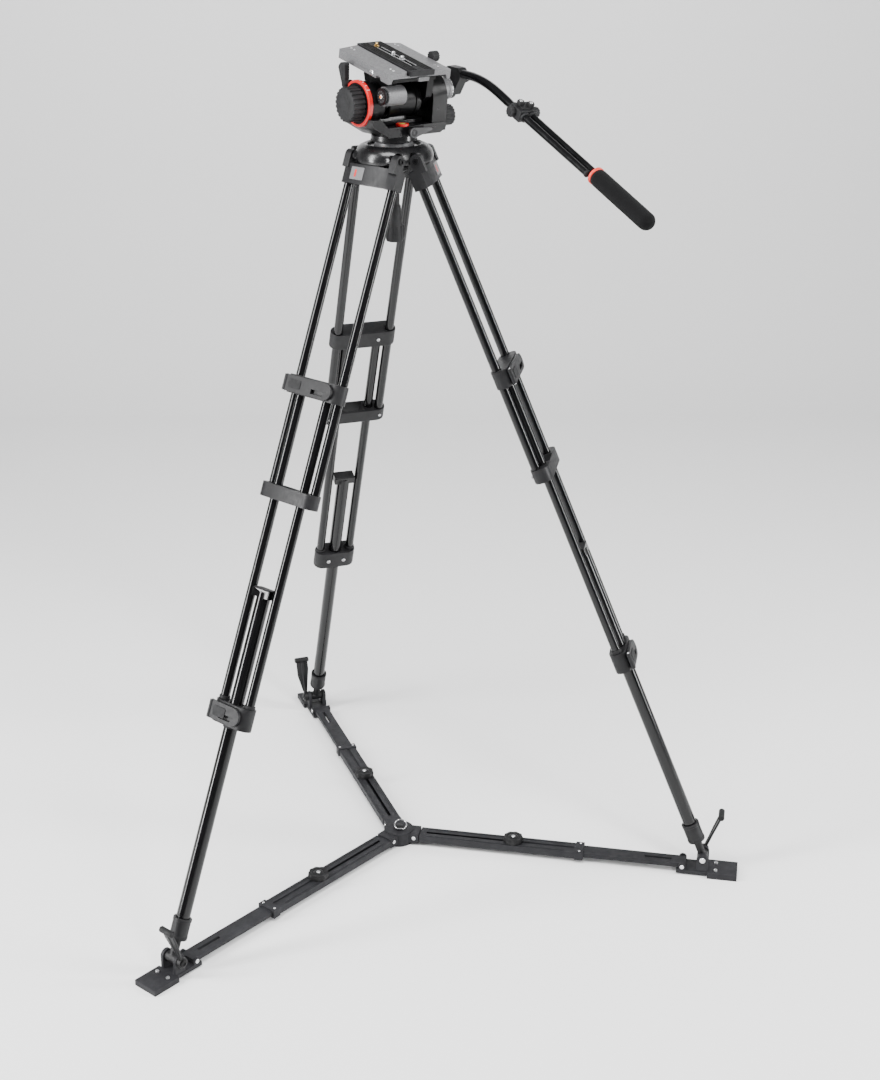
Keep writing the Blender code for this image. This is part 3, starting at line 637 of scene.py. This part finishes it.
def leg_details(leg):
    """Screws, boots, the wiper, the badge and the levers' trim on one leg."""
    place = leg_frame(leg)
    inverse = place.inverted()
    upper, middle = "leg_%d_upper" % leg, "leg_%d_mid" % leg
    lower = "leg_%d_lower" % leg
    mid_lock = centre_along("leg_%d_mid_lock" % leg, inverse)
    guide = centre_along("leg_%d_guide_collar" % leg, inverse)
    clamp = centre_along("leg_%d_lower_lever" % leg, inverse)
    stem = "leg_%d_" % leg
    for side, tag in ((-1, "a"), (1, "b")):
        pivot = facing(place, (0.0, side * HINGE_END, spot_along(leg)), (0, side, 0))
        socket_screw(stem + "hinge_screw_" + tag, pivot, upper, 0.0062, 0.0030, "head_black")
        inner = facing(place, (LOCK_INNER, side * LOCK_SCREW, mid_lock), (-1, 0, 0))
        socket_screw(stem + "mid_screw_" + tag, inner, middle, 0.0036, 0.0018)
        bolt = facing(place, (CLAMP_INNER, side * CLAMP_BOLT, clamp), (-1, 0, 0))
        socket_screw(stem + "clamp_bolt_" + tag, bolt, middle, 0.0042, 0.0022)
        stop = facing(place, (LOCK_INNER, side * OUTER_TUBE, guide), (-1, 0, 0))
        socket_screw(stem + "guide_screw_" + tag, stop, upper, 0.0030, 0.0015)
        boot = band(0.0093, 0.0108, clamp + BOOT_LOW, clamp + BOOT_HIGH)
        tube_foot = place @ Matrix.Translation((0.0, side * INNER_TUBE, 0.0))
        finish_piece(turned(boot, 32), stem + "clamp_boot_" + tag, tube_foot, "rubber",
                     middle)
    wiper = band(0.0139, 0.0158, clamp + WIPER_LOW, clamp + WIPER_HIGH)
    finish_piece(turned(wiper, 40), stem + "wiper", place, "rubber", middle)
    badge(leg, place, upper)
    lever_details(stem + "mid_lever", place, mid_lock, *MID_LEVER)
    lever_details(stem + "lower_lever", place, clamp, *LOWER_LEVER)
    lip = place @ Matrix.Translation((0.0, 0.0, GUIDE_CAP_TOP))
    finish_piece(extruded(rounded(0.0112, 0.0215, 0.003), -0.0004, 0.0018),
                 stem + "guide_cap", lip, "rubber", lower, bevel=0.0005)


def spot_along(leg):
    """How far up the leg its hinge is."""
    along = axis("leg_%d_mid_slide" % leg)
    return spot("leg_%d_spread" % leg).z / along.z


def badge(leg, place, body):
    """A plain plate with a red bar on the bracket's outer face."""
    side = 1 if leg == 2 else -1
    lean = Matrix.Rotation(BADGE_LEAN * side, 4, "Z")
    seat = place @ Matrix.Translation((BADGE_FACE, BADGE_SIDE * side, BADGE_HEIGHT))
    seat = seat @ lean @ ACROSS
    finish_piece(extruded(rounded(0.0165, 0.0120, 0.0012), -0.0006, 0.0006),
                 "leg_%d_badge" % leg, seat, "badge", body, 0.0002)
    finish_piece(extruded(rounded(0.0022, 0.0070, 0.0010), 0.0004, 0.0010),
                 "leg_%d_badge_bar" % leg, seat @ Matrix.Translation((-0.004, 0.0, 0.0)),
                 "red", body, 0.0001)


def lever_details(node, place, along, face, start, half):
    """A hinge pin through the lever's barrel and a grip pad on its face."""
    body = BODY_OF[node]
    barrel = place @ Matrix.Translation((face - 0.0029, start, along))
    finish_piece(turned(washer(0.0024, -half - 0.0008, half + 0.0008, 0.0004), 20),
                 node + "_pin", barrel, "steel", body)
    pad = place @ Matrix.Translation((face, start + 0.026, along)) @ ACROSS
    finish_piece(extruded(rounded(0.016, half * 0.55, 0.004), -0.0004, 0.0010), node + "_pad",
                 pad, "rubber", body, bevel=0.0004)


# ---------------------------------------------------------------- spreader details

# In an arm's own frame: x outward from the hub, z up from the floor.
SHOE_HINGE = (0.615, 0.0222, 0.0174)
SOLE_SCREW = (0.6850, 0.0150, 0.0120)
BROW = (0.7285, 0.0, 0.0093)
CUP_RIM, CUP_BOOT = (0.1160, 0.1225), (0.0820, 0.0880)      # up the leg
PIVOT_FACE = 0.0215
LEVER_PLANE, LEVER_FACE = 0.0267, 0.0307
LEVER_TIP = (0.690, LEVER_PLANE, 0.124)
RAIL = (0.215, 0.0145, 0.0244)
RAIL_HALF = 0.150
HUB_PIN = (0.037, 0.0190, 0.0174)
COLLAR_SCREW = (0.397, 0.0160, 0.0265)
KNOB_TOP = 0.0349
HUB_TOP = 0.0300
RING_RADIUS, RING_WIRE = 0.0130, 0.0013
RING_PLACE, RING_TILT = (0.0040, -0.0050, 0.0400), math.radians(24.0)


def mirrored(point, side):
    """A point on one side of the arm or on the other."""
    return (point[0], side * point[1], point[2])


def foot_details(leg):
    """Pins, sole screws, the sole's brow and the cup's rim and boot on one foot."""
    arm = arm_frame(leg)
    stem = "foot_%d_" % leg
    slider, cup = "arm_%d_slider" % leg, "foot_%d_cup" % leg
    pivot = arm.inverted() @ spot("foot_%d_pivot" % leg)
    end = facing(arm, (pivot.x, -PIVOT_FACE, pivot.z), (0, -1, 0))
    finish_piece(turned(washer(0.0062, 0.0, 0.0022), 28), stem + "pivot_head", end, "steel",
                 slider)
    for side, tag in ((-1, "a"), (1, "b")):
        ear = facing(arm, mirrored(SHOE_HINGE, side), (0, side, 0))
        finish_piece(turned(washer(0.0046, 0.0, 0.0016), 24), stem + "hinge_pin_" + tag, ear,
                     "steel", slider)
        screw = facing(arm, mirrored(SOLE_SCREW, side), (0, 0, 1))
        socket_screw(stem + "sole_screw_" + tag, screw, slider, 0.0040, 0.0034)
    brow = arm @ Matrix.Translation(BROW)
    finish_piece(extruded(rounded(0.0014, 0.0262, 0.0010), -0.0060, 0.0012), stem + "brow",
                 brow, "casting", slider, bevel=0.0006)
    leg_place = leg_frame(leg)
    rim = band(0.0147, 0.0186, *CUP_RIM)
    finish_piece(turned(rim, 40), stem + "cup_rim", leg_place, "casting", cup)
    boot = band(0.0140, 0.0184, *CUP_BOOT)
    finish_piece(turned(boot, 40), stem + "cup_boot", leg_place, "rubber", cup)
    foot_lever_details(leg, arm, pivot)


def foot_lever_details(leg, arm, pivot):
    """The lever's tapering plate, its thick thumb bar and the cap on its pivot."""
    lever, stem = "foot_%d_lever" % leg, "foot_%d_" % leg
    boss = facing(arm, (pivot.x, LEVER_FACE, pivot.z), (0, 1, 0))
    finish_piece(turned([(0.0, 0.0), (0.0082, 0.0), (0.0082, 0.0014), (0.0066, 0.0024),
                         (0.0040, 0.0024), (0.0040, 0.0010), (0.0, 0.0010)], 28),
                 stem + "lever_cap", boss, "head_black", lever)
    tip = Vector(LEVER_TIP)
    up = (tip - Vector((pivot.x, tip.y, pivot.z))).normalized()
    across = Vector((0.0, 1.0, 0.0))
    plane = arm @ frame_of(Vector((pivot.x, tip.y, pivot.z)), across, up, across.cross(up))
    reach = tip.z - pivot.z
    taper = [(0.0048, 0.012), (0.0145, reach * 0.62), (0.0145, reach), (-0.0145, reach),
             (-0.0145, reach * 0.80), (-0.0048, 0.012)]
    finish_piece(extruded(taper, -0.0022, 0.0022), stem + "lever_plate", plane, "casting",
                 lever, bevel=0.0014)
    bar = facing(arm, tip, (0, 1, 0))
    finish_piece(turned([(0.0, -0.0170), (0.0052, -0.0170), (0.0064, -0.0155),
                         (0.0064, 0.0155), (0.0052, 0.0170), (0.0, 0.0170)], 28),
                 stem + "thumb_bar", bar, "rubber", lever)


def arm_details(leg):
    """The knob's insert and grip, the channel's rails, and an arm's pins and screws."""
    arm = arm_frame(leg)
    stem = "arm_%d_" % leg
    knob = arm.inverted() @ spot("arm_%d_knob_turn" % leg)
    seat = arm @ Matrix.Translation((knob.x, 0.0, KNOB_TOP))
    finish_piece(turned([(0.0, 0.0), (0.0122, 0.0), (0.0122, 0.0012), (0.0090, 0.0026),
                         (0.0052, 0.0030), (0.0048, 0.0018), (0.0, 0.0018)], 36),
                 stem + "knob_insert", seat, "casting", stem + "knob")
    finish_piece(turned(washer(0.0044, 0.0016, 0.0030, 0.0004), 28), stem + "knob_pin", seat,
                 "steel", stem + "knob")
    grip = arm @ Matrix.Translation((knob.x, 0.0, 0.0))
    finish_piece(turned(band(0.0192, 0.0209, 0.0285, 0.0335, 0.0004), 72, 0.0008, 9),
                 stem + "knob_band", grip, "rubber", stem + "knob")
    for side, tag in ((-1, "a"), (1, "b")):
        rail = arm @ Matrix.Translation(mirrored(RAIL, side))
        finish_piece(extruded(rounded(RAIL_HALF, 0.0012, 0.0010), -0.0004, 0.0010),
                     stem + "rail_" + tag, rail, "spreader", "spreader", bevel=0.0003)
        pin = facing(arm, mirrored(HUB_PIN, side), (0, side, 0))
        finish_piece(turned(washer(0.0044, 0.0, 0.0016), 24), stem + "hub_pin_" + tag, pin,
                     "steel", "spreader")
        screw = facing(arm, mirrored(COLLAR_SCREW, side), (0, 0, 1))
        socket_screw(stem + "collar_screw_" + tag, screw, "spreader", 0.0026, 0.0012)


def hub_details():
    """The carrying ring on the hub and the centre cap."""
    cap = [(0.0, 0.0), (0.0105, 0.0), (0.0105, 0.0032), (0.0080, 0.0045), (0.0, 0.0045)]
    finish_piece(turned(cap, 36), "hub_cap", Matrix.Translation((0.0, 0.0, HUB_TOP)),
                 "casting", "spreader")
    data = bmesh.new()
    loop = arc(0.0, 0.0, RING_RADIUS, -60, 240, 22)
    rings = []
    for index, (x, y) in enumerate(loop):
        before = loop[(index - 1) % len(loop)]
        after = loop[(index + 1) % len(loop)]
        run = Vector((after[0] - before[0], after[1] - before[1], 0.0)).normalized()
        side = run.cross(UP)
        ring = []
        for step in range(10):
            angle = math.tau * step / 10
            offset = side * math.cos(angle) + UP * math.sin(angle)
            ring.append(data.verts.new(Vector((x, y, 0.0)) + offset * RING_WIRE))
        rings.append(ring)
    for index in range(len(rings)):
        skin(data, rings[index], rings[(index + 1) % len(rings)])
    lie = Matrix.Translation(RING_PLACE) @ Matrix.Rotation(RING_TILT, 4, "X")
    finish_piece(data, "hub_ring", lie, "steel", "spreader")


# ---------------------------------------------------------------- head details

# In the head's frame, x runs along the tilt shaft and z is up. Places along the shaft:
RING_LOW, RING_HIGH = -0.0842, -0.0752      # the red drag ring
RING_INNER, RING_OUTER = 0.0380, 0.0432
KNOB_FACE, KNOB_SEAT = -0.1112, -0.1094     # the drag knob's face
MARKS, MARK_FIRST, MARK_STEP = 9, 28.0, 14.0           # degrees round the ring
MARK_LONG, MARK_SHORT = 0.0032, 0.0020
SADDLE, SADDLE_LOW, SADDLE_HIGH = (0.0060, 0.0100, 0.0), 1.5557, 1.5640
TICKS, TICK_RADIUS = 12, 0.0096
ROSETTE_BANDS = (("a", 0.0955), ("b", 0.1060), ("c", 0.1165))
BAND_WIDTH = 0.0040
CHEEK_FACE, CHEEK_RADIUS = 0.0894, 0.038
LEVEL = (-0.0060, -0.0360, 1.5556)
PAN_LOCK = (0.006, -0.0560, 1.5445)
PAN_LOCK_DEEP = 0.0034
TILT_LOCK = (-0.0900, 0.0340, 1.6320)
PADDLE_LOW, PADDLE_HIGH = -0.0905, -0.0795

# In the tilt frame, y runs to the front and z is up out of the plate.
PLATE_TOP, PLATFORM_TOP = 0.0805, 0.0768
PLATFORM_SIDE, PLATFORM_LEAN = 0.050, math.radians(5.0)
SCREW_ROWS = (-0.058, -0.048, 0.072, 0.082)
INDEX_HOLE = (-0.0700, -0.0180, 0.0640)
RIB_SIDE = 0.0705
TONGUE, PLATE_LIP = (0.008, -0.0728, 0.0620), (0.0, -0.0805, 0.0760)
STRIP_LANES, STRIP_MIDDLE = (0.0105, 0.0165, 0.0225), 0.0085
LINER_SIDE, LINER_MIDDLE = 0.0052, 0.006
CAMERA_SCREWS = (("large", -0.012, "steel", 0.0062), ("small", 0.016, "steel", 0.0046),
                 ("brass", 0.072, "brass", 0.0050))

# In the bar's frame, z runs along the bar to the grip, from the joint.
LANE = 0.009               # the front tube's distance from the joint's middle
REAR_LANE = 0.004
COLLAR_FROM, COLLAR_LONG = 0.0160, 0.0050
WING_PLACE, WING_TURN = (-0.0040, 0.0090, 0.0), math.radians(158.0)
GRIP_START, GRIP_END, GRIP_RADIUS = 0.2247, 0.3833, 0.0165
GRIP_SIDES, GRIP_RINGS = 64, 47
GRIP_LIP, GRIP_LIP_LONG = 0.07, 0.006       # the sleeve narrows by this share at its start

# On the bowl, about the middle axis:
NECK_LOW, NECK_HIGH = 1.5250, 1.5275
RIBS, RIB_RADIUS, RIB_HEIGHT, RIB_HALF = 10, 0.0168, 1.3495, 0.0125


def on_shaft(height):
    """A frame at a height of the head, with its z along the tilt shaft."""
    return HEAD @ Matrix.Translation((0.0, 0.0, height)) @ ACROSS


def tilt_drum():
    """The red drag ring, its black shoulder, its white marks and the drag knob's face."""
    drum = on_shaft(spot("tilt").z)
    finish_piece(turned(band(RING_INNER, RING_OUTER, RING_LOW, RING_HIGH, 0.0014), 72),
                 "drag_ring", drum, "red", "pan_body")
    finish_piece(turned(band(0.0310, 0.0381, -0.0838, -0.0800, 0.0004), 72), "drag_recess",
                 drum, "head_black", "pan_body")
    face = [(0.0, KNOB_FACE), (0.0255, KNOB_FACE), (0.0290, KNOB_FACE + 0.0008),
            (0.0300, KNOB_SEAT), (0.0, KNOB_SEAT)]
    finish_piece(turned(face, 56), "drag_knob_face", drum, "rubber", "tilt_drag_knob")
    middle = (RING_LOW + RING_HIGH) / 2
    for step in range(MARKS):
        angle = math.radians(MARK_FIRST + step * MARK_STEP)
        mark = drum @ Matrix.Rotation(angle, 4, "Z") @ Matrix.Translation(
            (RING_OUTER, 0.0, middle)) @ Matrix.Rotation(RIGHT_ANGLE, 4, "Y")
        long = MARK_LONG if step % 4 == 0 else MARK_SHORT
        finish_piece(extruded(rounded(long, 0.00035, 0.0003, 2), -0.0004, 0.0002),
                     "drag_mark_%d" % step, mark, "white", "pan_body")


def cartridge():
    """The fluid cartridge across the yoke, its end flanges, and the saddle below it."""
    drum = on_shaft(spot("tilt").z)
    barrel = [(0.0, -0.0309), (0.0325, -0.0309), (0.0340, -0.0294), (0.0340, -0.0210),
              (0.0322, -0.0200), (0.0322, 0.0290), (0.0340, 0.0300), (0.0340, 0.0394),
              (0.0325, 0.0409), (0.0, 0.0409)]
    finish_piece(turned(barrel, 56), "tilt_cartridge", drum, "head_black", "tilt_body")
    saddle = HEAD @ Matrix.Translation(SADDLE)
    finish_piece(extruded(rounded(0.0480, 0.0310, 0.0060), SADDLE_LOW, SADDLE_HIGH), "saddle",
                 saddle, "head_black", "pan_body", bevel=0.0020)


def counterbalance():
    """The dial's black rim, its ticks, its amber centre and the white collar around that."""
    dial = TILT @ Matrix.Translation(TILT.inverted() @ spot("counterbalance")) @ ACROSS
    finish_piece(turned(band(0.0118, 0.0160, -0.0032, -0.0028, 0.0001), 48), "dial_rim", dial,
                 "head_black", "counterbalance_knob")
    finish_piece(turned([(0.0, -0.0050), (0.0021, -0.0050), (0.0026, -0.0044),
                         (0.0026, -0.0030), (0.0, -0.0030)], 32), "dial_centre", dial,
                 "amber", "counterbalance_knob")
    finish_piece(turned(band(0.0024, 0.0036, -0.0038, -0.0028, 0.0003), 32), "dial_collar",
                 dial, "white", "counterbalance_knob")
    for step in range(TICKS):
        tick = dial @ Matrix.Rotation(math.tau * step / TICKS, 4, "Z") @ Matrix.Translation(
            (TICK_RADIUS, 0.0, -0.0033))
        finish_piece(extruded(rounded(0.0011, 0.0003, 0.00025, 2), -0.0003, 0.0004),
                     "dial_tick_%d" % step, tick, "badge", "counterbalance_knob")


def rosette():
    """The toothed joint between the tilt shaft and the pan bar."""
    place = on_shaft(spot("bar_angle").z)
    for tag, low in ROSETTE_BANDS:
        finish_piece(turned(band(0.0195, 0.0213, low, low + BAND_WIDTH, 0.0007), 56),
                     "rosette_band_" + tag, place, "grey_alloy", "tilt_body")
    teeth = turned(band(0.0150, 0.0206, 0.1236, 0.1249, 0.0003), 72, 0.0004, 24)
    finish_piece(teeth, "rosette_teeth", place, "steel", "tilt_body")


def pan_bar_details():
    """Clamp screw with its wing, the joint's screws, knobs and bridge, collars, the end cap and the grip."""
    arm, far = "pan_bar_arm", "pan_bar_extension"
    bolt = on_shaft(spot("bar_angle").z)
    finish_piece(turned([(0.0, 0.1470), (0.0110, 0.1470), (0.0110, 0.1530), (0.0090, 0.1560),
                         (0.0, 0.1560)], 36, 0.0004, 12), "bar_bolt_knob", bolt, "rubber",
                 arm)
    wing = [(-0.0030, -0.0052), (0.0290, -0.0040), (0.0345, -0.0010), (0.0345, 0.0030),
            (0.0290, 0.0052), (-0.0030, 0.0052)]
    wing_place = bolt @ Matrix.Translation(WING_PLACE) @ Matrix.Rotation(WING_TURN, 4, "Z")
    finish_piece(extruded(wing, 0.1505, 0.1552), "bar_wing", wing_place, "rubber", arm,
                 bevel=0.0010)
    for side, tag in ((-1, "a"), (1, "b")):
        screw = facing(BAR, (side * 0.0200, 0.0, 0.0060 * side), (side, 0, 0))
        finish_piece(turned(washer(0.0098, -0.0004, 0.0090, 0.0014), 40, 0.0006, 10),
                     "joint_knob_" + tag, screw, "rubber", arm)
        finish_piece(turned(washer(0.0050, 0.0088, 0.0098, 0.0004), 24),
                     "joint_knob_cap_" + tag, screw, "casting", arm)
        tube = BAR @ Matrix.Translation((side * LANE, 0.0, 0.0))
        for end in (-1, 1):
            if side > 0 and end < 0:
                continue
            low, high = sorted((end * COLLAR_FROM, end * (COLLAR_FROM + COLLAR_LONG)))
            collar = band(0.0064, 0.0096, low, high)
            finish_piece(turned(collar, 36), "joint_collar_%s%d" % (tag, (end + 1) // 2),
                         tube, "casting", arm)
    bridge = BAR @ Matrix.Translation((0.0, 0.0110, 0.0)) @ Matrix.Rotation(
        -RIGHT_ANGLE, 4, "X")
    finish_piece(extruded(rounded(0.0120, 0.0100, 0.0030), -0.0004, 0.0026), "joint_bridge",
                 bridge, "casting", arm, bevel=0.0006)
    for side, tag in ((-1, "a"), (1, "b")):
        knob = facing(BAR, (side * 0.0080, 0.0134, side * 0.0050), (0, 1, 0))
        finish_piece(turned(washer(0.0068, -0.0004, 0.0080, 0.0012), 36, 0.0005, 8),
                     "joint_top_knob_" + tag, knob, "rubber", arm)
        finish_piece(turned(washer(0.0032, 0.0078, 0.0088, 0.0003), 24),
                     "joint_top_pin_" + tag, knob, "steel", arm)
    end_cap = BAR @ Matrix.Translation((-LANE, 0.0, 0.0))
    finish_piece(turned(washer(0.0068, 0.2085, 0.2135, 0.0010), 32), "bar_end_cap", end_cap,
                 "rubber", arm)
    rear = BAR @ Matrix.Translation((REAR_LANE, 0.0, 0.0))
    finish_piece(turned(band(0.0040, 0.0166, 0.2184, 0.2246, 0.0010), 56), "grip_ring", rear,
                 "orange", far)
    foam_grip(rear, far)


def foam_grip(place, body):
    """A padded foam sleeve with a closed round end and a slightly uneven skin."""
    start, radius = GRIP_START, GRIP_RADIUS
    shoulder = GRIP_END - radius
    data = bmesh.new()
    rings = []
    profile = []
    for step in range(GRIP_RINGS):
        height = start + (shoulder - start) * step / (GRIP_RINGS - 1)
        narrow = 1.0 - min((height - start) / GRIP_LIP_LONG, 1.0)
        profile.append((radius * (1.0 - GRIP_LIP * narrow), height))
    for step in range(8, 88, 8):
        angle = math.radians(step)
        profile.append((radius * math.cos(angle), shoulder + radius * math.sin(angle)))
    for reach, height in profile:
        ring = []
        for side in range(GRIP_SIDES):
            angle = math.tau * side / GRIP_SIDES
            way = Vector((math.cos(angle), math.sin(angle), 0.0))
            point = way * reach + Vector((0.0, 0.0, height))
            swell = noise.noise(point * 90.0) * 0.00016 + noise.noise(point * 700.0) * 0.00007
            ring.append(data.verts.new(point + way * (swell - 0.00010)))
        rings.append(ring)
    for low, high in zip(rings, rings[1:]):
        skin(data, low, high)
    skin(data, rings[-1], [data.verts.new((0.0, 0.0, GRIP_END - 0.0001))])
    skin(data, [data.verts.new((0.0, 0.0, start))], rings[0])
    grip = finish_piece(data, "grip_foam", place, "foam", body)
    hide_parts("pan_bar_grip")


def platform_details():
    """Screws, index hole, side ribs and the tongue of the tilting platform."""
    body = "tilt_body"
    for side, tag in ((-1, "a"), (1, "b")):
        lean = Matrix.Rotation(side * PLATFORM_LEAN, 4, "Y")
        for step, y in enumerate(SCREW_ROWS):
            seat = TILT @ Matrix.Translation((side * PLATFORM_SIDE, y, PLATFORM_TOP)) @ lean
            socket_screw("platform_screw_%s%d" % (tag, step), seat, body, 0.0022, 0.0010)
    hole = facing(TILT, INDEX_HOLE, (-1, 0, 0))
    finish_piece(turned([(0.0, -0.0004), (0.0052, -0.0004), (0.0052, 0.0010),
                         (0.0040, 0.0014), (0.0030, 0.0006), (0.0, 0.0006)], 32),
                 "platform_index", hole, "steel", body)
    for side, tag in ((-1, "left"), (1, "right")):
        rib = TILT @ Matrix.Translation((side * RIB_SIDE, 0.020, 0.0610)) @ ACROSS
        low, high = sorted((0.0, side * 0.0010))
        finish_piece(extruded(rounded(0.0380, 0.0022, 0.0012), low - 0.0004, high),
                     "platform_rib_" + tag, rib, "grey_alloy", body, bevel=0.0003)
    tongue = TILT @ Matrix.Translation(TONGUE) @ Matrix.Rotation(RIGHT_ANGLE, 4, "X")
    finish_piece(extruded(rounded(0.0120, 0.0040, 0.0010), 0.0, 0.0030), "platform_tongue",
                 tongue, "grey_alloy", body, bevel=0.0004)


def plate_details():
    """Anti-slip strips, the slot's bright liner and the camera screws."""
    body = "camera_slide"
    for side, tag in ((-1, "a"), (1, "b")):
        for lane, x in enumerate(STRIP_LANES):
            strip = TILT @ Matrix.Translation((side * x, STRIP_MIDDLE, PLATE_TOP))
            finish_piece(extruded(rounded(0.0020, 0.0820, 0.0008), -0.0003, 0.0009),
                         "strip_%s%d" % (tag, lane), strip, "strip", body, 0.0003)
        liner = TILT @ Matrix.Translation((side * LINER_SIDE, LINER_MIDDLE, PLATE_TOP))
        finish_piece(extruded(rounded(0.0007, 0.0570, 0.0004), -0.0004, 0.0006),
                     "slot_liner_" + tag, liner, "steel", body)
    for tag, y, look, radius in CAMERA_SCREWS:
        place = TILT @ Matrix.Translation((0.0, y, PLATE_TOP - 0.0002))
        data = turned([(0.0, 0.0), (radius, 0.0), (radius, 0.0016), (radius * 0.62, 0.0018),
                       (radius * 0.62, 0.0058), (radius * 0.50, 0.0066), (0.0, 0.0066)], 32)
        finish_piece(data, "camera_screw_" + tag, place, look, body)
    lip = TILT @ Matrix.Translation(PLATE_LIP) @ Matrix.Rotation(RIGHT_ANGLE, 4, "X")
    finish_piece(extruded(rounded(0.0250, 0.0040, 0.0012), -0.0006, 0.0012), "plate_lip", lip,
                 "rubber", body, bevel=0.0005)


def housing_details():
    """Spirit level, the cheek's screws and ring, the two brake levers, the pan drag's face."""
    body = "pan_body"
    level = HEAD @ Matrix.Translation(LEVEL)
    finish_piece(turned(band(0.0085, 0.0125, 0.0, 0.0050, 0.0008), 48), "level_ring", level,
                 "red", body)
    finish_piece(turned([(0.0, 0.0), (0.0086, 0.0), (0.0086, 0.0036), (0.0050, 0.0052),
                         (0.0, 0.0056)], 40), "level_vial", level, "vial", body)
    cheek = on_shaft(spot("tilt").z)
    for step in range(4):
        angle = math.radians(45.0 + 90.0 * step)
        place = cheek @ Matrix.Translation((CHEEK_RADIUS * math.cos(angle),
                                            CHEEK_RADIUS * math.sin(angle), CHEEK_FACE))
        socket_screw("cheek_screw_%d" % step, place, body, 0.0026, 0.0014, "steel")
    finish_piece(turned(band(0.0260, 0.0300, 0.0893, 0.0905, 0.0004), 56), "cheek_ring",
                 cheek, "grey_alloy", body)
    lock = HEAD @ Matrix.Translation(PAN_LOCK) @ Matrix.Rotation(RIGHT_ANGLE, 4, "X")
    tail = arc(0.0, 0.0, 0.0098, 80, 285, 14) + arc(0.0385, 0.0040, 0.0028, -60, 60, 6)
    finish_piece(extruded(tail, 0.0, 0.0036), "pan_lock_cover", lock, "lever_grey",
                 "pan_lock_lever", 0.0012)
    paddle = [(0.0290, 1.6400), (0.0390, 1.6400), (0.0455, 1.6690), (0.0430, 1.6715),
              (0.0300, 1.6715), (0.0275, 1.6690)]
    finish_piece(extruded(paddle, PADDLE_LOW, PADDLE_HIGH), "tilt_lock_paddle", HEAD @ ACROSS,
                 "rubber", "tilt_lock_lever", bevel=0.0016)
    pan_cap = HEAD @ Matrix.Translation(HEAD.inverted() @ spot("pan_drag")) @ ACROSS
    finish_piece(turned(washer(0.0150, 0.0098, 0.0112, 0.0005), 40), "pan_drag_face", pan_cap,
                 "rubber", "pan_drag_knob")
    lever = facing(HEAD, (PAN_LOCK[0], PAN_LOCK[1] - PAN_LOCK_DEEP, PAN_LOCK[2]), (0, -1, 0))
    finish_piece(turned(band(0.0030, 0.0066, -0.0004, 0.0012, 0.0004), 32), "pan_lock_cap",
                 lever, "casting", "pan_lock_lever")
    lever = facing(HEAD, TILT_LOCK, (-1, 0, 0))
    finish_piece(turned(washer(0.0050, -0.0004, 0.0012, 0.0004), 28), "tilt_lock_cap", lever,
                 "casting", "tilt_lock_lever")


def bowl_details():
    """The ring round the ball's neck and the ribs of the levelling grip."""
    finish_piece(turned(band(0.0432, 0.0446, NECK_LOW, NECK_HIGH), 64), "neck_ring", Matrix(),
                 "casting", "levelling_ball")
    for step in range(RIBS):
        angle = math.tau * step / RIBS
        rib = Matrix.Rotation(angle, 4, "Z") @ Matrix.Translation((RIB_RADIUS, 0.0, RIB_HEIGHT))
        finish_piece(extruded(rounded(0.0010, 0.0018, 0.0006), -RIB_HALF, RIB_HALF),
                     "grip_rib_%d" % step, rib, "rubber", "levelling_grip")


# ---------------------------------------------------------------- making

def main():
    camera()
    stage()
    lights()
    dress_nodes()
    thicken_bar()
    split_leg_looks()
    split_head_looks()
    for leg in LEGS:
        leg_details(leg)
        foot_details(leg)
        arm_details(leg)
    hub_details()
    bowl_details()
    tilt_drum()
    cartridge()
    counterbalance()
    rosette()
    housing_details()
    platform_details()
    plate_details()
    pan_bar_details()


main()
